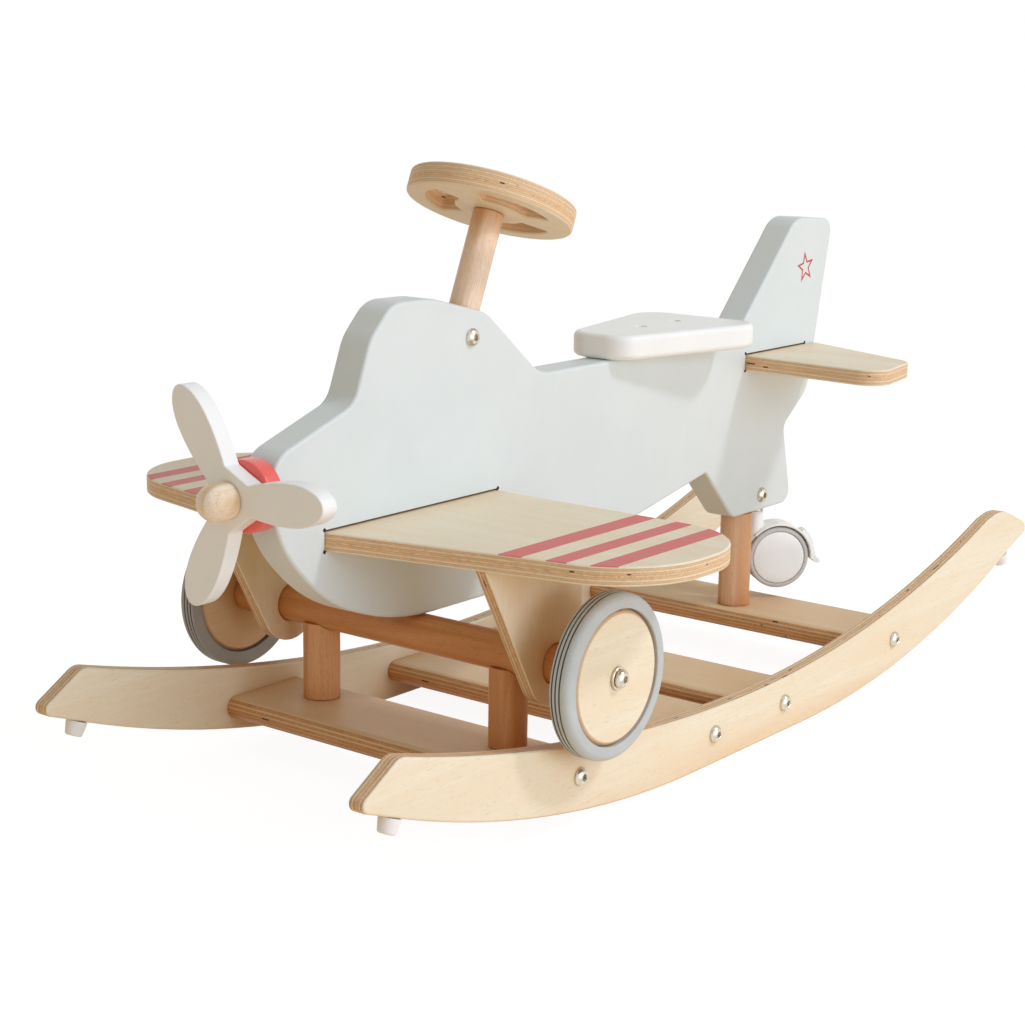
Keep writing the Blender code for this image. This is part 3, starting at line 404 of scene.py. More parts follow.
def varnished(look, group, inputs, relief):
    """Wood with the grain of an effect, its corners browned as painted shade."""
    colour, roughness, height = through(group, inputs)
    corner_shaded = through(PAINTED_CORNER_SHADE, {"Color": colour, "Reach": 0.05, "Amount": 1.0})[0]
    return dress(look, corner_shaded, roughness, height, relief)


def birch(name, thickness, plies, grain="X", depth="Z", shade_stain=0.0, contrast=0.5):
    """Varnished birch plywood. grain and depth are the board's own axes. Pieces that sit in shade are
    browned by a share of brown, as painted shade.
    """
    look = new_look(name, Specular_IOR_Level=0.30, Coat_Weight=0.04, Coat_Roughness=0.3)
    axes = dict(zip("XYZ", split(places_on(look))))
    across = next(axis for axis in "XYZ" if axis not in (grain, depth))
    return varnished(look, PLYWOOD_LAYERS, {
        "Vector": vector(axes[grain], axes[across], axes[depth]), "Thickness": thickness,
        "Plies": plies, "Shade Stain": shade_stain, "Contrast": contrast}, 0.00010)


rocker_low, rocker_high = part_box("rocker_right")
rocker_thickness = rocker_high.x - rocker_low.x
rocker_x = (rocker_high.x + rocker_low.x) / 2


def sole_height(y):
    """Height of the rockers' sole: level in the middle, a large arc to either end."""
    past = max(0.0, abs(y - FLAT_CENTRE_Y) - FLAT_LENGTH / 2)
    return SOLE_RADIUS - sqrt(SOLE_RADIUS ** 2 - past ** 2)


def top_height(y):
    radius = TOP_FRONT_RADIUS if y < FLAT_CENTRE_Y else TOP_REAR_RADIUS
    away = y - FLAT_CENTRE_Y
    return ROCKER_DEPTH + radius - sqrt(radius ** 2 - away ** 2)


def sole_slope(y):
    past = max(0.0, abs(y - FLAT_CENTRE_Y) - FLAT_LENGTH / 2)
    return asin(past / SOLE_RADIUS) * (1 if y > FLAT_CENTRE_Y else -1)


def rocker_outline():
    front = -ROCKER_FRONT_REACH
    rear = ROCKER_REAR_REACH
    cut = front + FRONT_CUT_LENGTH
    corners = []
    for i in range(49):
        y = front + 0.018 + (rear - 0.028 - front - 0.018) * i / 48
        corners.append((y, sole_height(y), 0.0))
    up = Vector((-sin(sole_slope(rear)), cos(sole_slope(rear))))
    along = Vector((up.y, -up.x))
    heel = Vector((rear, sole_height(rear))) - up * 0.0030
    tip = heel + up * (0.0025 + REAR_TIP_HEIGHT) + along * 0.0026
    corners.append((heel.x, heel.y, 0.004))
    corners.append((tip.x, tip.y, 0.009))
    corners.append((rear - REAR_TIP_LENGTH, top_height(rear - REAR_TIP_LENGTH) - 0.0046, 0.055))
    for i in range(45):
        y = rear - REAR_TIP_LENGTH - 0.026 + (cut + 0.048 - rear + REAR_TIP_LENGTH) * i / 44
        corners.append((y, top_height(y), 0.0))
    corners.append((cut, top_height(cut), 0.012))
    corners.append((front - 0.0015, sole_height(front + 0.012) + 0.0045, 0.005))
    return rounded(corners)


SIDES = (("left", -1), ("right", 1))
rocker_birch = birch("rocker_birch", rocker_thickness, ROCKER_PLIES, contrast=0.9)
for side, sign in SIDES:
    bow = board("birch_rocker_" + side, [rocker_outline()], rocker_thickness,
                at(sign * rocker_x, 0, 0) @ OUTLINE_YZ, rocker_birch)
    fit(sand(bow, PLY_ROUNDING), "airframe", "birch_plywood", "rocker_" + side)


# Rocker bolts: nickel-plated button heads with a hexagon socket, four on the outside of each rocker,
# screwed into the ends of the cross boards.

HEAD_RADIUS = 0.0059
HEAD_HEIGHT = 0.0042
SHANK_RADIUS = 0.0030
SOCKET_HALF_WIDTH = 0.0021
SOCKET_DEPTH = 0.0026
HEAD_GAP = 0.0003                 # under the head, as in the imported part
NICKEL = (0.72, 0.66, 0.55)
NICKEL_DULL = (0.52, 0.45, 0.35)


def turned(name, profile, place, look, sides=64, closed=False, crease=radians(32.0)):
    """Piece turned round local Z from (radius, height) points; a ring marked 6 is a hexagon."""
    work = bmesh.new()
    rings = []
    for radius, height, *mark in profile:
        if radius < 1e-7:
            rings.append([work.verts.new((0.0, 0.0, height))])
            continue
        ring = []
        for i in range(sides):
            angle = 2 * pi * i / sides
            reach = radius / cos((angle + pi / 6) % (pi / 3) - pi / 6) if mark else radius
            ring.append(work.verts.new((reach * cos(angle), reach * sin(angle), height)))
        rings.append(ring)
    pairs = list(zip(rings, rings[1:]))
    if closed:
        pairs.append((rings[-1], rings[0]))
    for upper, lower in pairs:
        for i in range(sides):
            j = (i + 1) % sides
            face = list(dict.fromkeys((upper[i % len(upper)], lower[i % len(lower)],
                                       lower[j % len(lower)], upper[j % len(upper)])))
            if len(face) > 2:
                work.faces.new(face)
    bmesh.ops.recalc_face_normals(work, faces=work.faces)
    mesh = bpy.data.meshes.new(name)
    work.to_mesh(mesh)
    work.free()
    mesh.shade_smooth()
    mesh.set_sharp_from_angle(angle=crease)
    return stand(name, mesh, place, look)


def mottled(name, first, second, patches, turn, roughness, grain, relief, **sockets):
    """Finish with soft patches of a second tone and a fine grain, both (scale, detail). turn is where
    the second tone starts and is full, roughness its least and how much the patches add."""
    look = new_look(name, **sockets)
    place = places_on(look)
    cloud = noise(place, *patches)
    return dress(look, colour_mix(ease(cloud, *turn), first, second), cloud * roughness[1] + roughness[0],
                 noise(place, *grain), relief)


def bolt(name, place, length, body, node):
    """Button-head bolt; its head stands on local z = 0 and faces +Z."""
    socket_floor = HEAD_HEIGHT - SOCKET_DEPTH
    lip = 0.22 * HEAD_HEIGHT
    profile = [(0.0, socket_floor - 0.0004), (SOCKET_HALF_WIDTH * 0.5, socket_floor - 0.0002),
               (SOCKET_HALF_WIDTH, socket_floor, 6), (SOCKET_HALF_WIDTH, HEAD_HEIGHT - 0.00025, 6),
               (SOCKET_HALF_WIDTH + 0.0002, HEAD_HEIGHT, 6)]
    start = asin(0.50)
    for i in range(9):
        angle = start + (pi / 2 - start) * i / 8
        profile.append((HEAD_RADIUS * sin(angle), lip + (HEAD_HEIGHT - lip) * cos(angle) / cos(start)))
    profile += [(HEAD_RADIUS, HEAD_GAP + 0.0002), (HEAD_RADIUS - 0.0002, HEAD_GAP),
                (SHANK_RADIUS, HEAD_GAP), (SHANK_RADIUS, -length), (0.0, -length)]
    fit(turned(name, profile, place, nickel, 48), body, "nickel_plated_steel", node)


def side_bolt(node, sign):
    """Bolt along X, its head on the given side."""
    low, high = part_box(node)
    seat_x = (high.x if sign > 0 else low.x) - sign * HEAD_HEIGHT
    bolt("nickel_" + node, at(seat_x, middle(node).y, middle(node).z) @ facing((sign, 0, 0)),
         high.x - low.x - HEAD_HEIGHT, "airframe", node)


nickel = mottled("nickel_plate", NICKEL, NICKEL_DULL, (260.0, 3.0), (0.35, 0.75), (0.16, 0.22),
                 (2600.0, 2.0), 0.00002, Metallic=1.0)
BOARD_PLACES = ("front", "mid_front", "mid_rear", "rear")
for side, sign in SIDES:
    for place_name in BOARD_PLACES:
        side_bolt("rocker_bolt_" + place_name + "_" + side, sign)


# Rocker feet: four small white rubber buttons under the tips, which stop the ride from tipping over.
# Each is moulded with a soft lower edge and screwed to the sole at right angles.

FOOT_TOP_RADIUS = 0.0067
FOOT_BOTTOM_RADIUS = 0.0056
FOOT_HEIGHT = 0.0098
FOOT_SOFT_EDGE = 0.0014
FRONT_FOOT_SETBACK = 0.0335       # from the rocker's front end
REAR_FOOT_SETBACK = 0.0360        # from its rear end
RUBBER_WHITE = (0.96, 0.975, 0.95)
def tone(colour, share):
    return tuple(min(1.0, share * channel) for channel in colour)


def soft_white(name, colour, roughness, scale):
    """Moulded white rubber or plastic: faint mottling, fine matt grain."""
    return mottled(name, tone(colour, 0.93), colour, (scale, 3.0), (0.3, 0.7), (roughness, 0.15),
                   (2200.0, 1.0), 0.00003)


def quarter(centre_radius, centre_height, radius, start, end, count=8):
    """Rounded corner of a turned profile."""
    return [(centre_radius + radius * cos(start + (end - start) * i / count),
             centre_height + radius * sin(start + (end - start) * i / count)) for i in range(count + 1)]


foot_rubber = soft_white("foot_rubber", RUBBER_WHITE, 0.50, 60.0)
foot_profile = [(0.0, FOOT_HEIGHT - 0.0008), (0.0016, FOOT_HEIGHT - 0.0008), (0.0018, FOOT_HEIGHT)]
foot_profile += quarter(FOOT_BOTTOM_RADIUS - FOOT_SOFT_EDGE, FOOT_HEIGHT - FOOT_SOFT_EDGE, FOOT_SOFT_EDGE,
                        pi / 2, 0.0, 3)
foot_profile += [(FOOT_TOP_RADIUS, 0.0022), (FOOT_TOP_RADIUS, HEAD_GAP), (0.0, HEAD_GAP)]
for side, sign in SIDES:
    for place_name, y in (("front", FRONT_FOOT_SETBACK - ROCKER_FRONT_REACH),
                          ("rear", ROCKER_REAR_REACH - REAR_FOOT_SETBACK)):
        slope = sole_slope(y)
        node = "rocker_foot_" + place_name + "_" + side
        fit(turned("rubber_" + node, foot_profile,
                   at(sign * rocker_x, y, sole_height(y)) @ facing((0, sin(slope), -cos(slope))),
                   foot_rubber, 40), "airframe", "white_rubber", node)


# Cross boards: four 15 mm birch plywood boards between the rockers, their long edges rounded over to
# full noses that show all the plies.

BOARD_PLIES = 11
NOSE_SHARE = 0.48                 # rounding of the long edges, of the thickness
ROD_HEAD_RADIUS = 0.0058          # recesses in the undersides, for the heads of the posts' rods
ROD_HEAD_HEIGHT = 0.0026

POST_RODS = ("post_rod_front_left", "post_rod_front_right", "post_rod_rear")


def drill(radius, low, high, place, look, sides=64):
    """Tool for a round hole along local Z."""
    return turned("drill", [(0, high), (radius, high), (radius, low), (0, low)], place, look, sides)


board_low, board_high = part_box("cross_board_front")
board_thickness = board_high.z - board_low.z
board_width = board_high.y - board_low.y
board_birch = birch("board_birch", board_thickness, BOARD_PLIES, "Z", "Y", 0.75, 1.0)
board_section = rounded([(a * board_width / 2, b * board_thickness / 2, board_thickness * NOSE_SHARE)
                         for a, b in ((-1, -1), (1, -1), (1, 1), (-1, 1))])
for place_name in BOARD_PLACES:
    node = "cross_board_" + place_name
    low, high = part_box(node)
    plank = board("birch_" + node, [board_section], high.x - low.x,
                  Matrix.Translation(middle(node)) @ OUTLINE_YZ, board_birch)
    sand(plank, 0.0004, 2)
    recesses = [drill(ROD_HEAD_RADIUS, -0.01, ROD_HEAD_HEIGHT, at(middle(rod).x, middle(rod).y, low.z),
                      board_birch, 48)
                for rod in POST_RODS if low.y < middle(rod).y < high.y]
    if recesses:
        carve(plank, *recesses)
    fit(plank, "airframe", "birch_plywood", node)


# Posts: three 25 mm beech dowels that carry the airplane, the two front ones with a saddle cut in the
# top for the axle. A steel rod inside each, from under the board, ties it down.

POST_RADIUS = 0.0125
POST_EDGE = 0.0006
# Beech is mixed from pale towards deep by each piece's depth, as painted shade: deepest on the posts and
# beam, which sit in shade, palest on the dome, which is lit.
BEECH_PALE = (0.985, 0.875, 0.71)
BEECH_SHADE_DEEP = (0.76, 0.40, 0.175)
BEECH_RING = (0.80, 0.66, 0.52)   # the year rings and rays are multiplied by these
BEECH_RAY = (0.42, 0.30, 0.22)


def dowel_grain():
    """Beech along local Z: soft year rings, fine fibres and the short dark rays that mark beech."""
    inputs = {"Vector": "Vector", "Seed": "Float", "Depth": "Float"}
    tree, (place, seed, depth), out = effect("dowel_grain", inputs, WOOD_OUTPUTS)
    place = flow("ShaderNodeVectorMath", {0: place, 1: vector(seed, 0.0, seed)})
    rings = noise(stretch(place, 130, 40, 5), distortion=0.5)
    fibres = noise(stretch(place, 1200, 1200, 30), detail=3.0)
    rays = ease(noise(stretch(place, 1500, 1500, 260), detail=0.0), 0.64, 0.75)
    lines = calc("MAXIMUM", ease(rings, 0.62, 0.34), ease(fibres, 0.60, 0.30) * 0.5)
    # painted shade: the depth mixes pale beech towards deep
    colour = colour_mix(lines, colour_mix(depth, BEECH_PALE, BEECH_SHADE_DEEP), BEECH_RING, "MULTIPLY")
    feed(out, {"Color": colour_mix(rays * 0.22, colour, BEECH_RAY, "MULTIPLY"),
               "Roughness": fibres * 0.20 + 0.36, "Height": fibres * 0.4 - rays * 0.5})
    return tree


DOWEL_GRAIN = dowel_grain()


def beech(name, seed, depth):
    """Varnished beech dowel; the seed moves the grain along and the depth makes it redder and darker, as
    painted shade for pieces that sit in shade.
    """
    look = new_look(name, Specular_IOR_Level=0.30, Coat_Weight=0.05, Coat_Roughness=0.3)
    return varnished(look, DOWEL_GRAIN, {"Vector": places_on(look), "Seed": seed, "Depth": depth},
                     0.00008)


def dowel_profile(radius, low, high, edge=POST_EDGE):
    return [(0.0, high), (radius - edge, high), (radius - 0.3 * edge, high - 0.3 * edge),
            (radius, high - edge), (radius, low + edge), (radius - 0.3 * edge, low + 0.3 * edge),
            (radius - edge, low), (0.0, low)]


def dowel(name, radius, low, high, place, look, node):
    turning = turned(name, dowel_profile(radius, low, high), place, look)
    return fit(turning, "airframe", "beech_dowel", node)


def plate(*nodes):
    """Gives solids that show as they are packed the bolts' nickel."""
    for node in nodes:
        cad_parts[node].data.materials.clear()
        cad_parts[node].data.materials.append(nickel)


axle = middle("axle_beam")
axle_low, axle_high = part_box("axle_beam")
axle_radius = (axle_high.z - axle_low.z) / 2
for seed, side in enumerate(("left", "right")):
    node = "front_post_" + side
    low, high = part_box(node)
    post_beech = beech("post_beech_" + side, 0.31 + 0.17 * seed, 0.95)
    post = dowel("beech_" + node, POST_RADIUS, low.z, high.z, at(middle(node).x, axle.y, 0), post_beech,
                 node)
    carve(post, drill(axle_radius + HEAD_GAP, -0.03, 0.03,
                      at(middle(node).x, axle.y, axle.z) @ facing((1, 0, 0)), post_beech, 96))

low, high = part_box("rear_post")
dowel("beech_rear_post", POST_RADIUS, low.z, high.z,
      at(middle("rear_post").x, middle("rear_post").y, 0), beech("rear_post_beech", 0.77, 0.70),
      "rear_post")
plate(*POST_RODS)


# Fuselage: one 25 mm board sawn to the side view of a propeller plane, its edges rounded over and the
# whole sprayed a pale mint. Two slots with drilled corners take the wing and the tailplane.

MINT = (0.725, 0.785, 0.76)
PAINT_ROUNDING = 0.0024
SLOT_SHADE_WOOD = (0.12, 0.075, 0.04)   # painted shade: bare wood inside the slots, routed after painting, but far darker than bare wood to stand for their shadow
SLOT_ABOVE = 0.0012               # open slot over the wing and the tailplane
SLOT_PLAY = 0.0006                # at the slots' ends
SLOT_BELOW = 0.0003
SLOT_DRILL = 0.0013               # radius of the drilled corners

fuselage_low, fuselage_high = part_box("fuselage")
fuselage_thickness = fuselage_high.x - fuselage_low.x
belly_z = axle.z + axle_radius + HEAD_GAP
back_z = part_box("seat")[0].z - HEAD_GAP
leg_bottom_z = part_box("rear_post")[1].z + HEAD_GAP
wing_low, wing_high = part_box("wing")
tail_low, tail_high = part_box("tailplane")
TAIL_SLOT_REAR = 0.4690           # behind the axle


def fuselage_outline():
    """Side view, as (y, z, fillet radius), from the nose's top corner down."""
    y, z = axle.y, axle.z
    return rounded([
        (fuselage_low.y, z + 0.1334, 0.022),
        (fuselage_low.y, z + 0.0856, 0.075),
        (y - 0.0932, z + 0.0370, 0.125),
        (y - 0.0267, belly_z, 0.200),
        (y + 0.1080, belly_z, 0.150),
        (y + 0.3290, z + 0.0561, 0.0026),
        (y + 0.3700, leg_bottom_z, 0.014),
        (y + 0.4585, leg_bottom_z, 0.011),
        (y + 0.4425, z + 0.0785, 0.009),
        (y + 0.4775, z + 0.1040, 0.022),
        (y + 0.5065, z + 0.2405, 0.011),
        (y + 0.4490, z + 0.2445, 0.026),
        (y + 0.3645, back_z, 0.012),
        (y + 0.1180, back_z, 0.030),
        (y + 0.0600, z + 0.2030, 0.034),
        (y + 0.0050, z + 0.2166, 0.060),
        (y - 0.0330, z + 0.2172, 0.024),
        (y - 0.0535, z + 0.1960, 0.030),
        (y - 0.0678, z + 0.1583, 0.018),
    ])


def slot_outline(front, rear, low, high):
    """Routed slot whose corners are drilled out past its sides."""
    points = []
    for y, z, start in ((front, low, pi / 2), (rear, low, pi), (rear, high, 3 * pi / 2),
                        (front, high, 0.0)):
        points += arc((y, z), SLOT_DRILL, start, start + 3 * pi / 2, radians(15.0))
    return points

def painted(name, colour, roughness, mottle_share=0.97, coat=0.0):
    """Sprayed paint: hardly any mottling, orange peel and a soft sheen."""
    return mottled(name, tone(colour, mottle_share), colour, (22.0, 4.0), (0.3, 0.7), (roughness, 0.12),
                   (700.0, 1.0), 0.00004, Coat_Weight=coat, Coat_Roughness=0.25)


mint_paint = painted("mint_paint", MINT, 0.40)
# painted shade for the inside of the slots
slot_shade = painted("slot_shade_wood", SLOT_SHADE_WOOD, 0.8, 0.7)
wing_slot = slot_outline(wing_low.y - SLOT_PLAY, wing_high.y + SLOT_PLAY, wing_low.z - SLOT_BELOW,
                         wing_high.z + SLOT_ABOVE)
tail_front = axle.y + 0.380
tail_slot = slot_outline(tail_front - SLOT_PLAY, axle.y + TAIL_SLOT_REAR, tail_low.z - SLOT_BELOW,
                         tail_high.z + SLOT_ABOVE)
COLUMN_TILT = radians(22.2)
COLUMN_RADIUS = 0.01025
COLUMN_BURIED = 0.018             # below the cross bolt
COLUMN_RISE = 0.0835              # from the cross bolt to the wheel
cross_bolt_place = middle("column_bolt")
column_place = at(0, cross_bolt_place.y, cross_bolt_place.z) @ Matrix.Rotation(-COLUMN_TILT, 4, "X")

fuselage = board("painted_fuselage", [fuselage_outline()], fuselage_thickness, OUTLINE_YZ, mint_paint)
carve(sand(fuselage, PAINT_ROUNDING, 4),
      board("wing_slot_cutter", [wing_slot], 2 * fuselage_thickness, OUTLINE_YZ, slot_shade),
      board("tail_slot_cutter", [tail_slot], 2 * fuselage_thickness, OUTLINE_YZ, slot_shade),
      drill(COLUMN_RADIUS + HEAD_GAP, -COLUMN_BURIED - HEAD_GAP, 0.1, column_place, mint_paint, 72))
fit(fuselage, "airframe", "pale_mint_paint", "fuselage")


# Wing: one 12 mm birch plywood board right through the fuselage, with rounded tips. Three red stripes
# are rolled across the top of each tip in thin paint that lets the grain show.

WING_PLIES = 9
WING_TIP_FRONT = 0.0500           # ahead of the axle
WING_TIP_ROUND = 0.064
STRIPES = ((0.1258, 0.1406), (0.1557, 0.1684), (0.1822, 0.1962))     # from the middle of the wing
STRIPE_RED = (0.68, 0.085, 0.095)

wing_thickness = wing_high.z - wing_low.z
half_body = fuselage_thickness / 2

def lay_over(look, mask, colour):
    """Lays one more colour on a finish, where a mask is 1."""
    under = Wire(shader_of(look).inputs["Base Color"].links[0].from_socket)
    feed(shader_of(look), {"Base Color": colour_mix(mask, under, colour)})
    return look


def striped_birch():
    """The wing's plywood with its stripes, on the top face alone."""
    look = birch("wing_birch", wing_thickness, WING_PLIES, contrast=0.55)
    place = places_on(look)
    x, y, z = split(place)
    reach = calc("ABSOLUTE", x) + noise(place, 420.0) * 0.0004 - 0.0002
    stripe = ease(z, wing_thickness / 2 - 0.0007, wing_thickness / 2 - 0.0004)
    within = [calc("GREATER_THAN", reach, start) * calc("LESS_THAN", reach, end)
              for start, end in STRIPES]
    stripe *= within[0] + within[1] + within[2]
    return lay_over(look, stripe * (noise(stretch(place, 60, 700, 1)) * 0.16 + 0.80), STRIPE_RED)


wing_outline = rounded([
    (-half_body, wing_low.y, 0.0),
    (half_body, wing_low.y, 0.0),
    (wing_high.x, axle.y - WING_TIP_FRONT, WING_TIP_ROUND),
    (wing_high.x, wing_high.y, WING_TIP_ROUND * 0.9),
    (wing_low.x, wing_high.y, WING_TIP_ROUND * 0.9),
    (wing_low.x, axle.y - WING_TIP_FRONT, WING_TIP_ROUND),
])
wing = board("birch_wing", [wing_outline], wing_thickness, at(0, 0, (wing_low.z + wing_high.z) / 2),
             striped_birch())
fit(sand(wing, 0.0012), "airframe", "birch_plywood", "wing")


# Tailplane: a smaller birch board in the slot of the fin, slid in from the front, with a notch at its
# back that straddles the fin behind the slot.

TAIL_TIP_FRONT = 0.3715           # behind the axle
TAIL_TIP_REAR = 0.4385
TAIL_TIP_TAPER = 0.011
TAIL_TIP_ROUND = 0.018

tail_half_span = tail_high.x
tail_thickness = tail_high.z - tail_low.z
tail_notch_front = axle.y + TAIL_SLOT_REAR - HEAD_GAP
notch_half = half_body + HEAD_GAP
tail_outline = rounded([
    (-tail_half_span, axle.y + TAIL_TIP_FRONT, TAIL_TIP_ROUND),
    (-half_body, tail_front, 0.0),
    (half_body, tail_front, 0.0),
    (tail_half_span, axle.y + TAIL_TIP_FRONT, TAIL_TIP_ROUND),
    (tail_half_span - TAIL_TIP_TAPER, axle.y + TAIL_TIP_REAR, TAIL_TIP_ROUND),
    (notch_half, tail_high.y, 0.0),
    (notch_half, tail_notch_front, 0.0),
    (-notch_half, tail_notch_front, 0.0),
    (-notch_half, tail_high.y, 0.0),
    (TAIL_TIP_TAPER - tail_half_span, axle.y + TAIL_TIP_REAR, TAIL_TIP_ROUND),
])
tailplane = board("birch_tailplane", [tail_outline], tail_thickness,
                  at(0, 0, (tail_low.z + tail_high.z) / 2), birch("tail_birch", tail_thickness, WING_PLIES))
fit(sand(tailplane, 0.0012), "airframe", "birch_plywood", "tailplane")


# Axle beam and struts: a beech dowel across the belly, carried by two 9 mm plywood struts that hang
# from the wing and narrow to a round boss.

STRUT_PLIES = 7
STRUT_BOSS_RADIUS = 0.0265
STRUT_TOP_LENGTH = 0.0965

dowel("beech_axle_beam", axle_radius, axle_low.x, axle_high.x, at(0, axle.y, axle.z) @ facing((1, 0, 0)),
      beech("axle_beech", 1.3, 1.0), "axle_beam")

strut_low, strut_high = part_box("strut_right")
strut_thickness = strut_high.x - strut_low.x
strut_top = strut_high.z - axle.z
front_corner = Vector((STRUT_BOSS_RADIUS - STRUT_TOP_LENGTH, strut_top))
tangent = atan2(front_corner.y, front_corner.x) + acos(STRUT_BOSS_RADIUS / front_corner.length)
strut_outline = [(STRUT_BOSS_RADIUS, strut_top), tuple(front_corner)]
strut_outline += arc((0, 0), STRUT_BOSS_RADIUS, tangent, 2 * pi)
strut_bore = arc((0, 0), axle_radius + HEAD_GAP, 0.0, 2 * pi)[:-1]
strut_birch = birch("strut_birch", strut_thickness, STRUT_PLIES, "Y", "Z", 0.15, 1.0)
for side, sign in SIDES:
    strut = board("birch_strut_" + side, [strut_outline, strut_bore], strut_thickness,
                  at(middle("strut_" + side).x, axle.y, axle.z) @ OUTLINE_YZ, strut_birch,
                  (0.0, pi / 2))
    fit(sand(strut, 0.0008), "airframe", "birch_plywood", "strut_" + side)


# Front wheels: chamfered birch plywood discs in soft grey rubber tyres with three grooves round the
# inner half of the tread. Each turns on a bolt with a washer.

DISC_PLIES = 9
DISC_RADIUS = 0.0424
DISC_CHAMFER = 0.0026
BORE_RADIUS = 0.0033
TYRE_RADIUS = 0.052
OUTER_SHOULDER = 0.0046
INNER_SHOULDER = 0.0007
GROOVE_DEPTH = 0.0013
GROOVE_HALF_WIDTH = 0.0005
GROOVES = (0.0008, -0.0021, -0.0048)       # from the middle of the tyre, outwards positive
WASHER_RADIUS = 0.00725
WASHER_THICKNESS = 0.0018
RING_WIDTH = 0.0030                # of the first tan ply, which the chamfer bares
RING_TAN = (0.74, 0.50, 0.29)
# The next colour is painted shade at the bottom of the tyre's grooves.
GROOVE_SHADE = (0.16, 0.16, 0.145)
TYRE_GREY = (0.51, 0.55, 0.54)
TYRE_GREY_SHADED = (0.36, 0.35, 0.32)        # painted shade: the left tyre is painted darker for the shade it sits in

def rubber(name, colour, dust):
    """Moulded rubber: matt, very fine grain and a little pale dust in patches."""
    return mottled(name, colour, tone(colour, dust), (45.0, 4.0), (0.40, 0.75), (0.46, 0.18),
                   (1800.0, 2.0), 0.00005)


def tyre_rubber(name, colour):
    """The tyre's rubber, with painted shade at the bottom of its grooves."""
    look = rubber(name, colour, 1.08)
    height = split(places_on(look))[2]
    lines = [ease(calc("ABSOLUTE", height - groove), GROOVE_HALF_WIDTH * 1.5, GROOVE_HALF_WIDTH * 0.7)
             for groove in GROOVES]
    return lay_over(look, calc("MAXIMUM", calc("MAXIMUM", lines[0], lines[1]), lines[2]), GROOVE_SHADE)


def disc_birch(name, shade_stain):
    """The disc's plywood, with the fine tan ring of the chamfer round each face."""
    look = birch(name, 2 * disc_half, DISC_PLIES, "X", "Z", shade_stain, 0.8)
    flat = stretch(places_on(look), 1, 1, 0)
    radius = flow("ShaderNodeVectorMath", {0: flat}, "Value", operation="LENGTH")
    ring = ease(radius, DISC_RADIUS - RING_WIDTH - 0.0003, DISC_RADIUS - RING_WIDTH)
    return lay_over(look, ring * (noise(stretch(flat, 300, 300, 300)) * 0.4 + 0.35), RING_TAN)


def mirrored(upper):
    """Profile of a turned ring that is the same above and below its middle."""
    return upper + [(radius, -height) for radius, height in reversed(upper)]


tyre_low, tyre_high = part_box("tyre_right")
tyre_half = (tyre_high.x - tyre_low.x) / 2
disc_low, disc_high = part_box("wheel_disc_right")
disc_half = (disc_high.x - disc_low.x) / 2
# The left tyre and disc are painted darker than the right ones, as painted shade for the shade they sit in.
tyre_looks = {"left": tyre_rubber("left_tyre_shaded_rubber", TYRE_GREY_SHADED),
              "right": tyre_rubber("right_tyre_rubber", TYRE_GREY)}
disc_looks = {"left": disc_birch("left_disc_shaded_birch", 0.7), "right": disc_birch("right_disc_birch", 0.0)}
tyre_inner = DISC_RADIUS + HEAD_GAP
tyre_profile = [(tyre_inner, tyre_half - 0.0005), (tyre_inner + 0.0005, tyre_half)]
tyre_profile += quarter(TYRE_RADIUS - OUTER_SHOULDER, tyre_half - OUTER_SHOULDER, OUTER_SHOULDER,
                        pi / 2, 0.0, 12)
for groove in GROOVES:
    groove_floor = TYRE_RADIUS - GROOVE_DEPTH
    tyre_profile += [(TYRE_RADIUS, groove + GROOVE_HALF_WIDTH), (groove_floor, groove + 0.0002),
                     (groove_floor, groove - 0.0002), (TYRE_RADIUS, groove - GROOVE_HALF_WIDTH)]
tyre_profile += quarter(TYRE_RADIUS - INNER_SHOULDER, INNER_SHOULDER - tyre_half, INNER_SHOULDER,
                        0.0, -pi / 2, 4)
tyre_profile += [(tyre_inner + 0.0005, -tyre_half), (tyre_inner, 0.0005 - tyre_half)]
disc_profile = mirrored([(BORE_RADIUS, disc_half), (DISC_RADIUS - DISC_CHAMFER, disc_half),
                         (DISC_RADIUS - 0.1 * DISC_CHAMFER, disc_half - 0.9 * DISC_CHAMFER),
                         (DISC_RADIUS, disc_half - 1.2 * DISC_CHAMFER)])
washer_foot = disc_half + HEAD_GAP
washer_top = washer_foot + WASHER_THICKNESS
washer_profile = [(BORE_RADIUS, washer_top), (WASHER_RADIUS - 0.0004, washer_top),
                  (WASHER_RADIUS, washer_top - 0.0004), (WASHER_RADIUS, washer_foot + 0.0002),
                  (WASHER_RADIUS - 0.0002, washer_foot), (BORE_RADIUS, washer_foot)]
for side, sign in SIDES:
    hub = at(middle("wheel_disc_" + side).x, axle.y, axle.z) @ facing((sign, 0, 0))
    body = "front_wheel_" + side
    fit(turned("birch_wheel_" + side, disc_profile, hub, disc_looks[side], 96, True), body,
        "birch_plywood", "wheel_disc_" + side)
    fit(turned("rubber_tyre_" + side, tyre_profile, hub, tyre_looks[side], 128, True, radians(38.0)),
        body, "grey_tyre", "tyre_" + side)
    fit(turned("nickel_washer_" + side, washer_profile, hub, nickel, 48, True), "airframe",
        "nickel_plated_steel", "wheel_washer_" + side)
    low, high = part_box("wheel_bolt_" + side)
    bolt("nickel_wheel_bolt_" + side, hub @ at(0, 0, washer_top), high.x - low.x - HEAD_HEIGHT,
         "airframe", "wheel_bolt_" + side)


# Seat: an 18 mm board, wider at the back, with well-rounded edges under white satin paint. Two
# countersunk screws hold it on the fuselage's back.

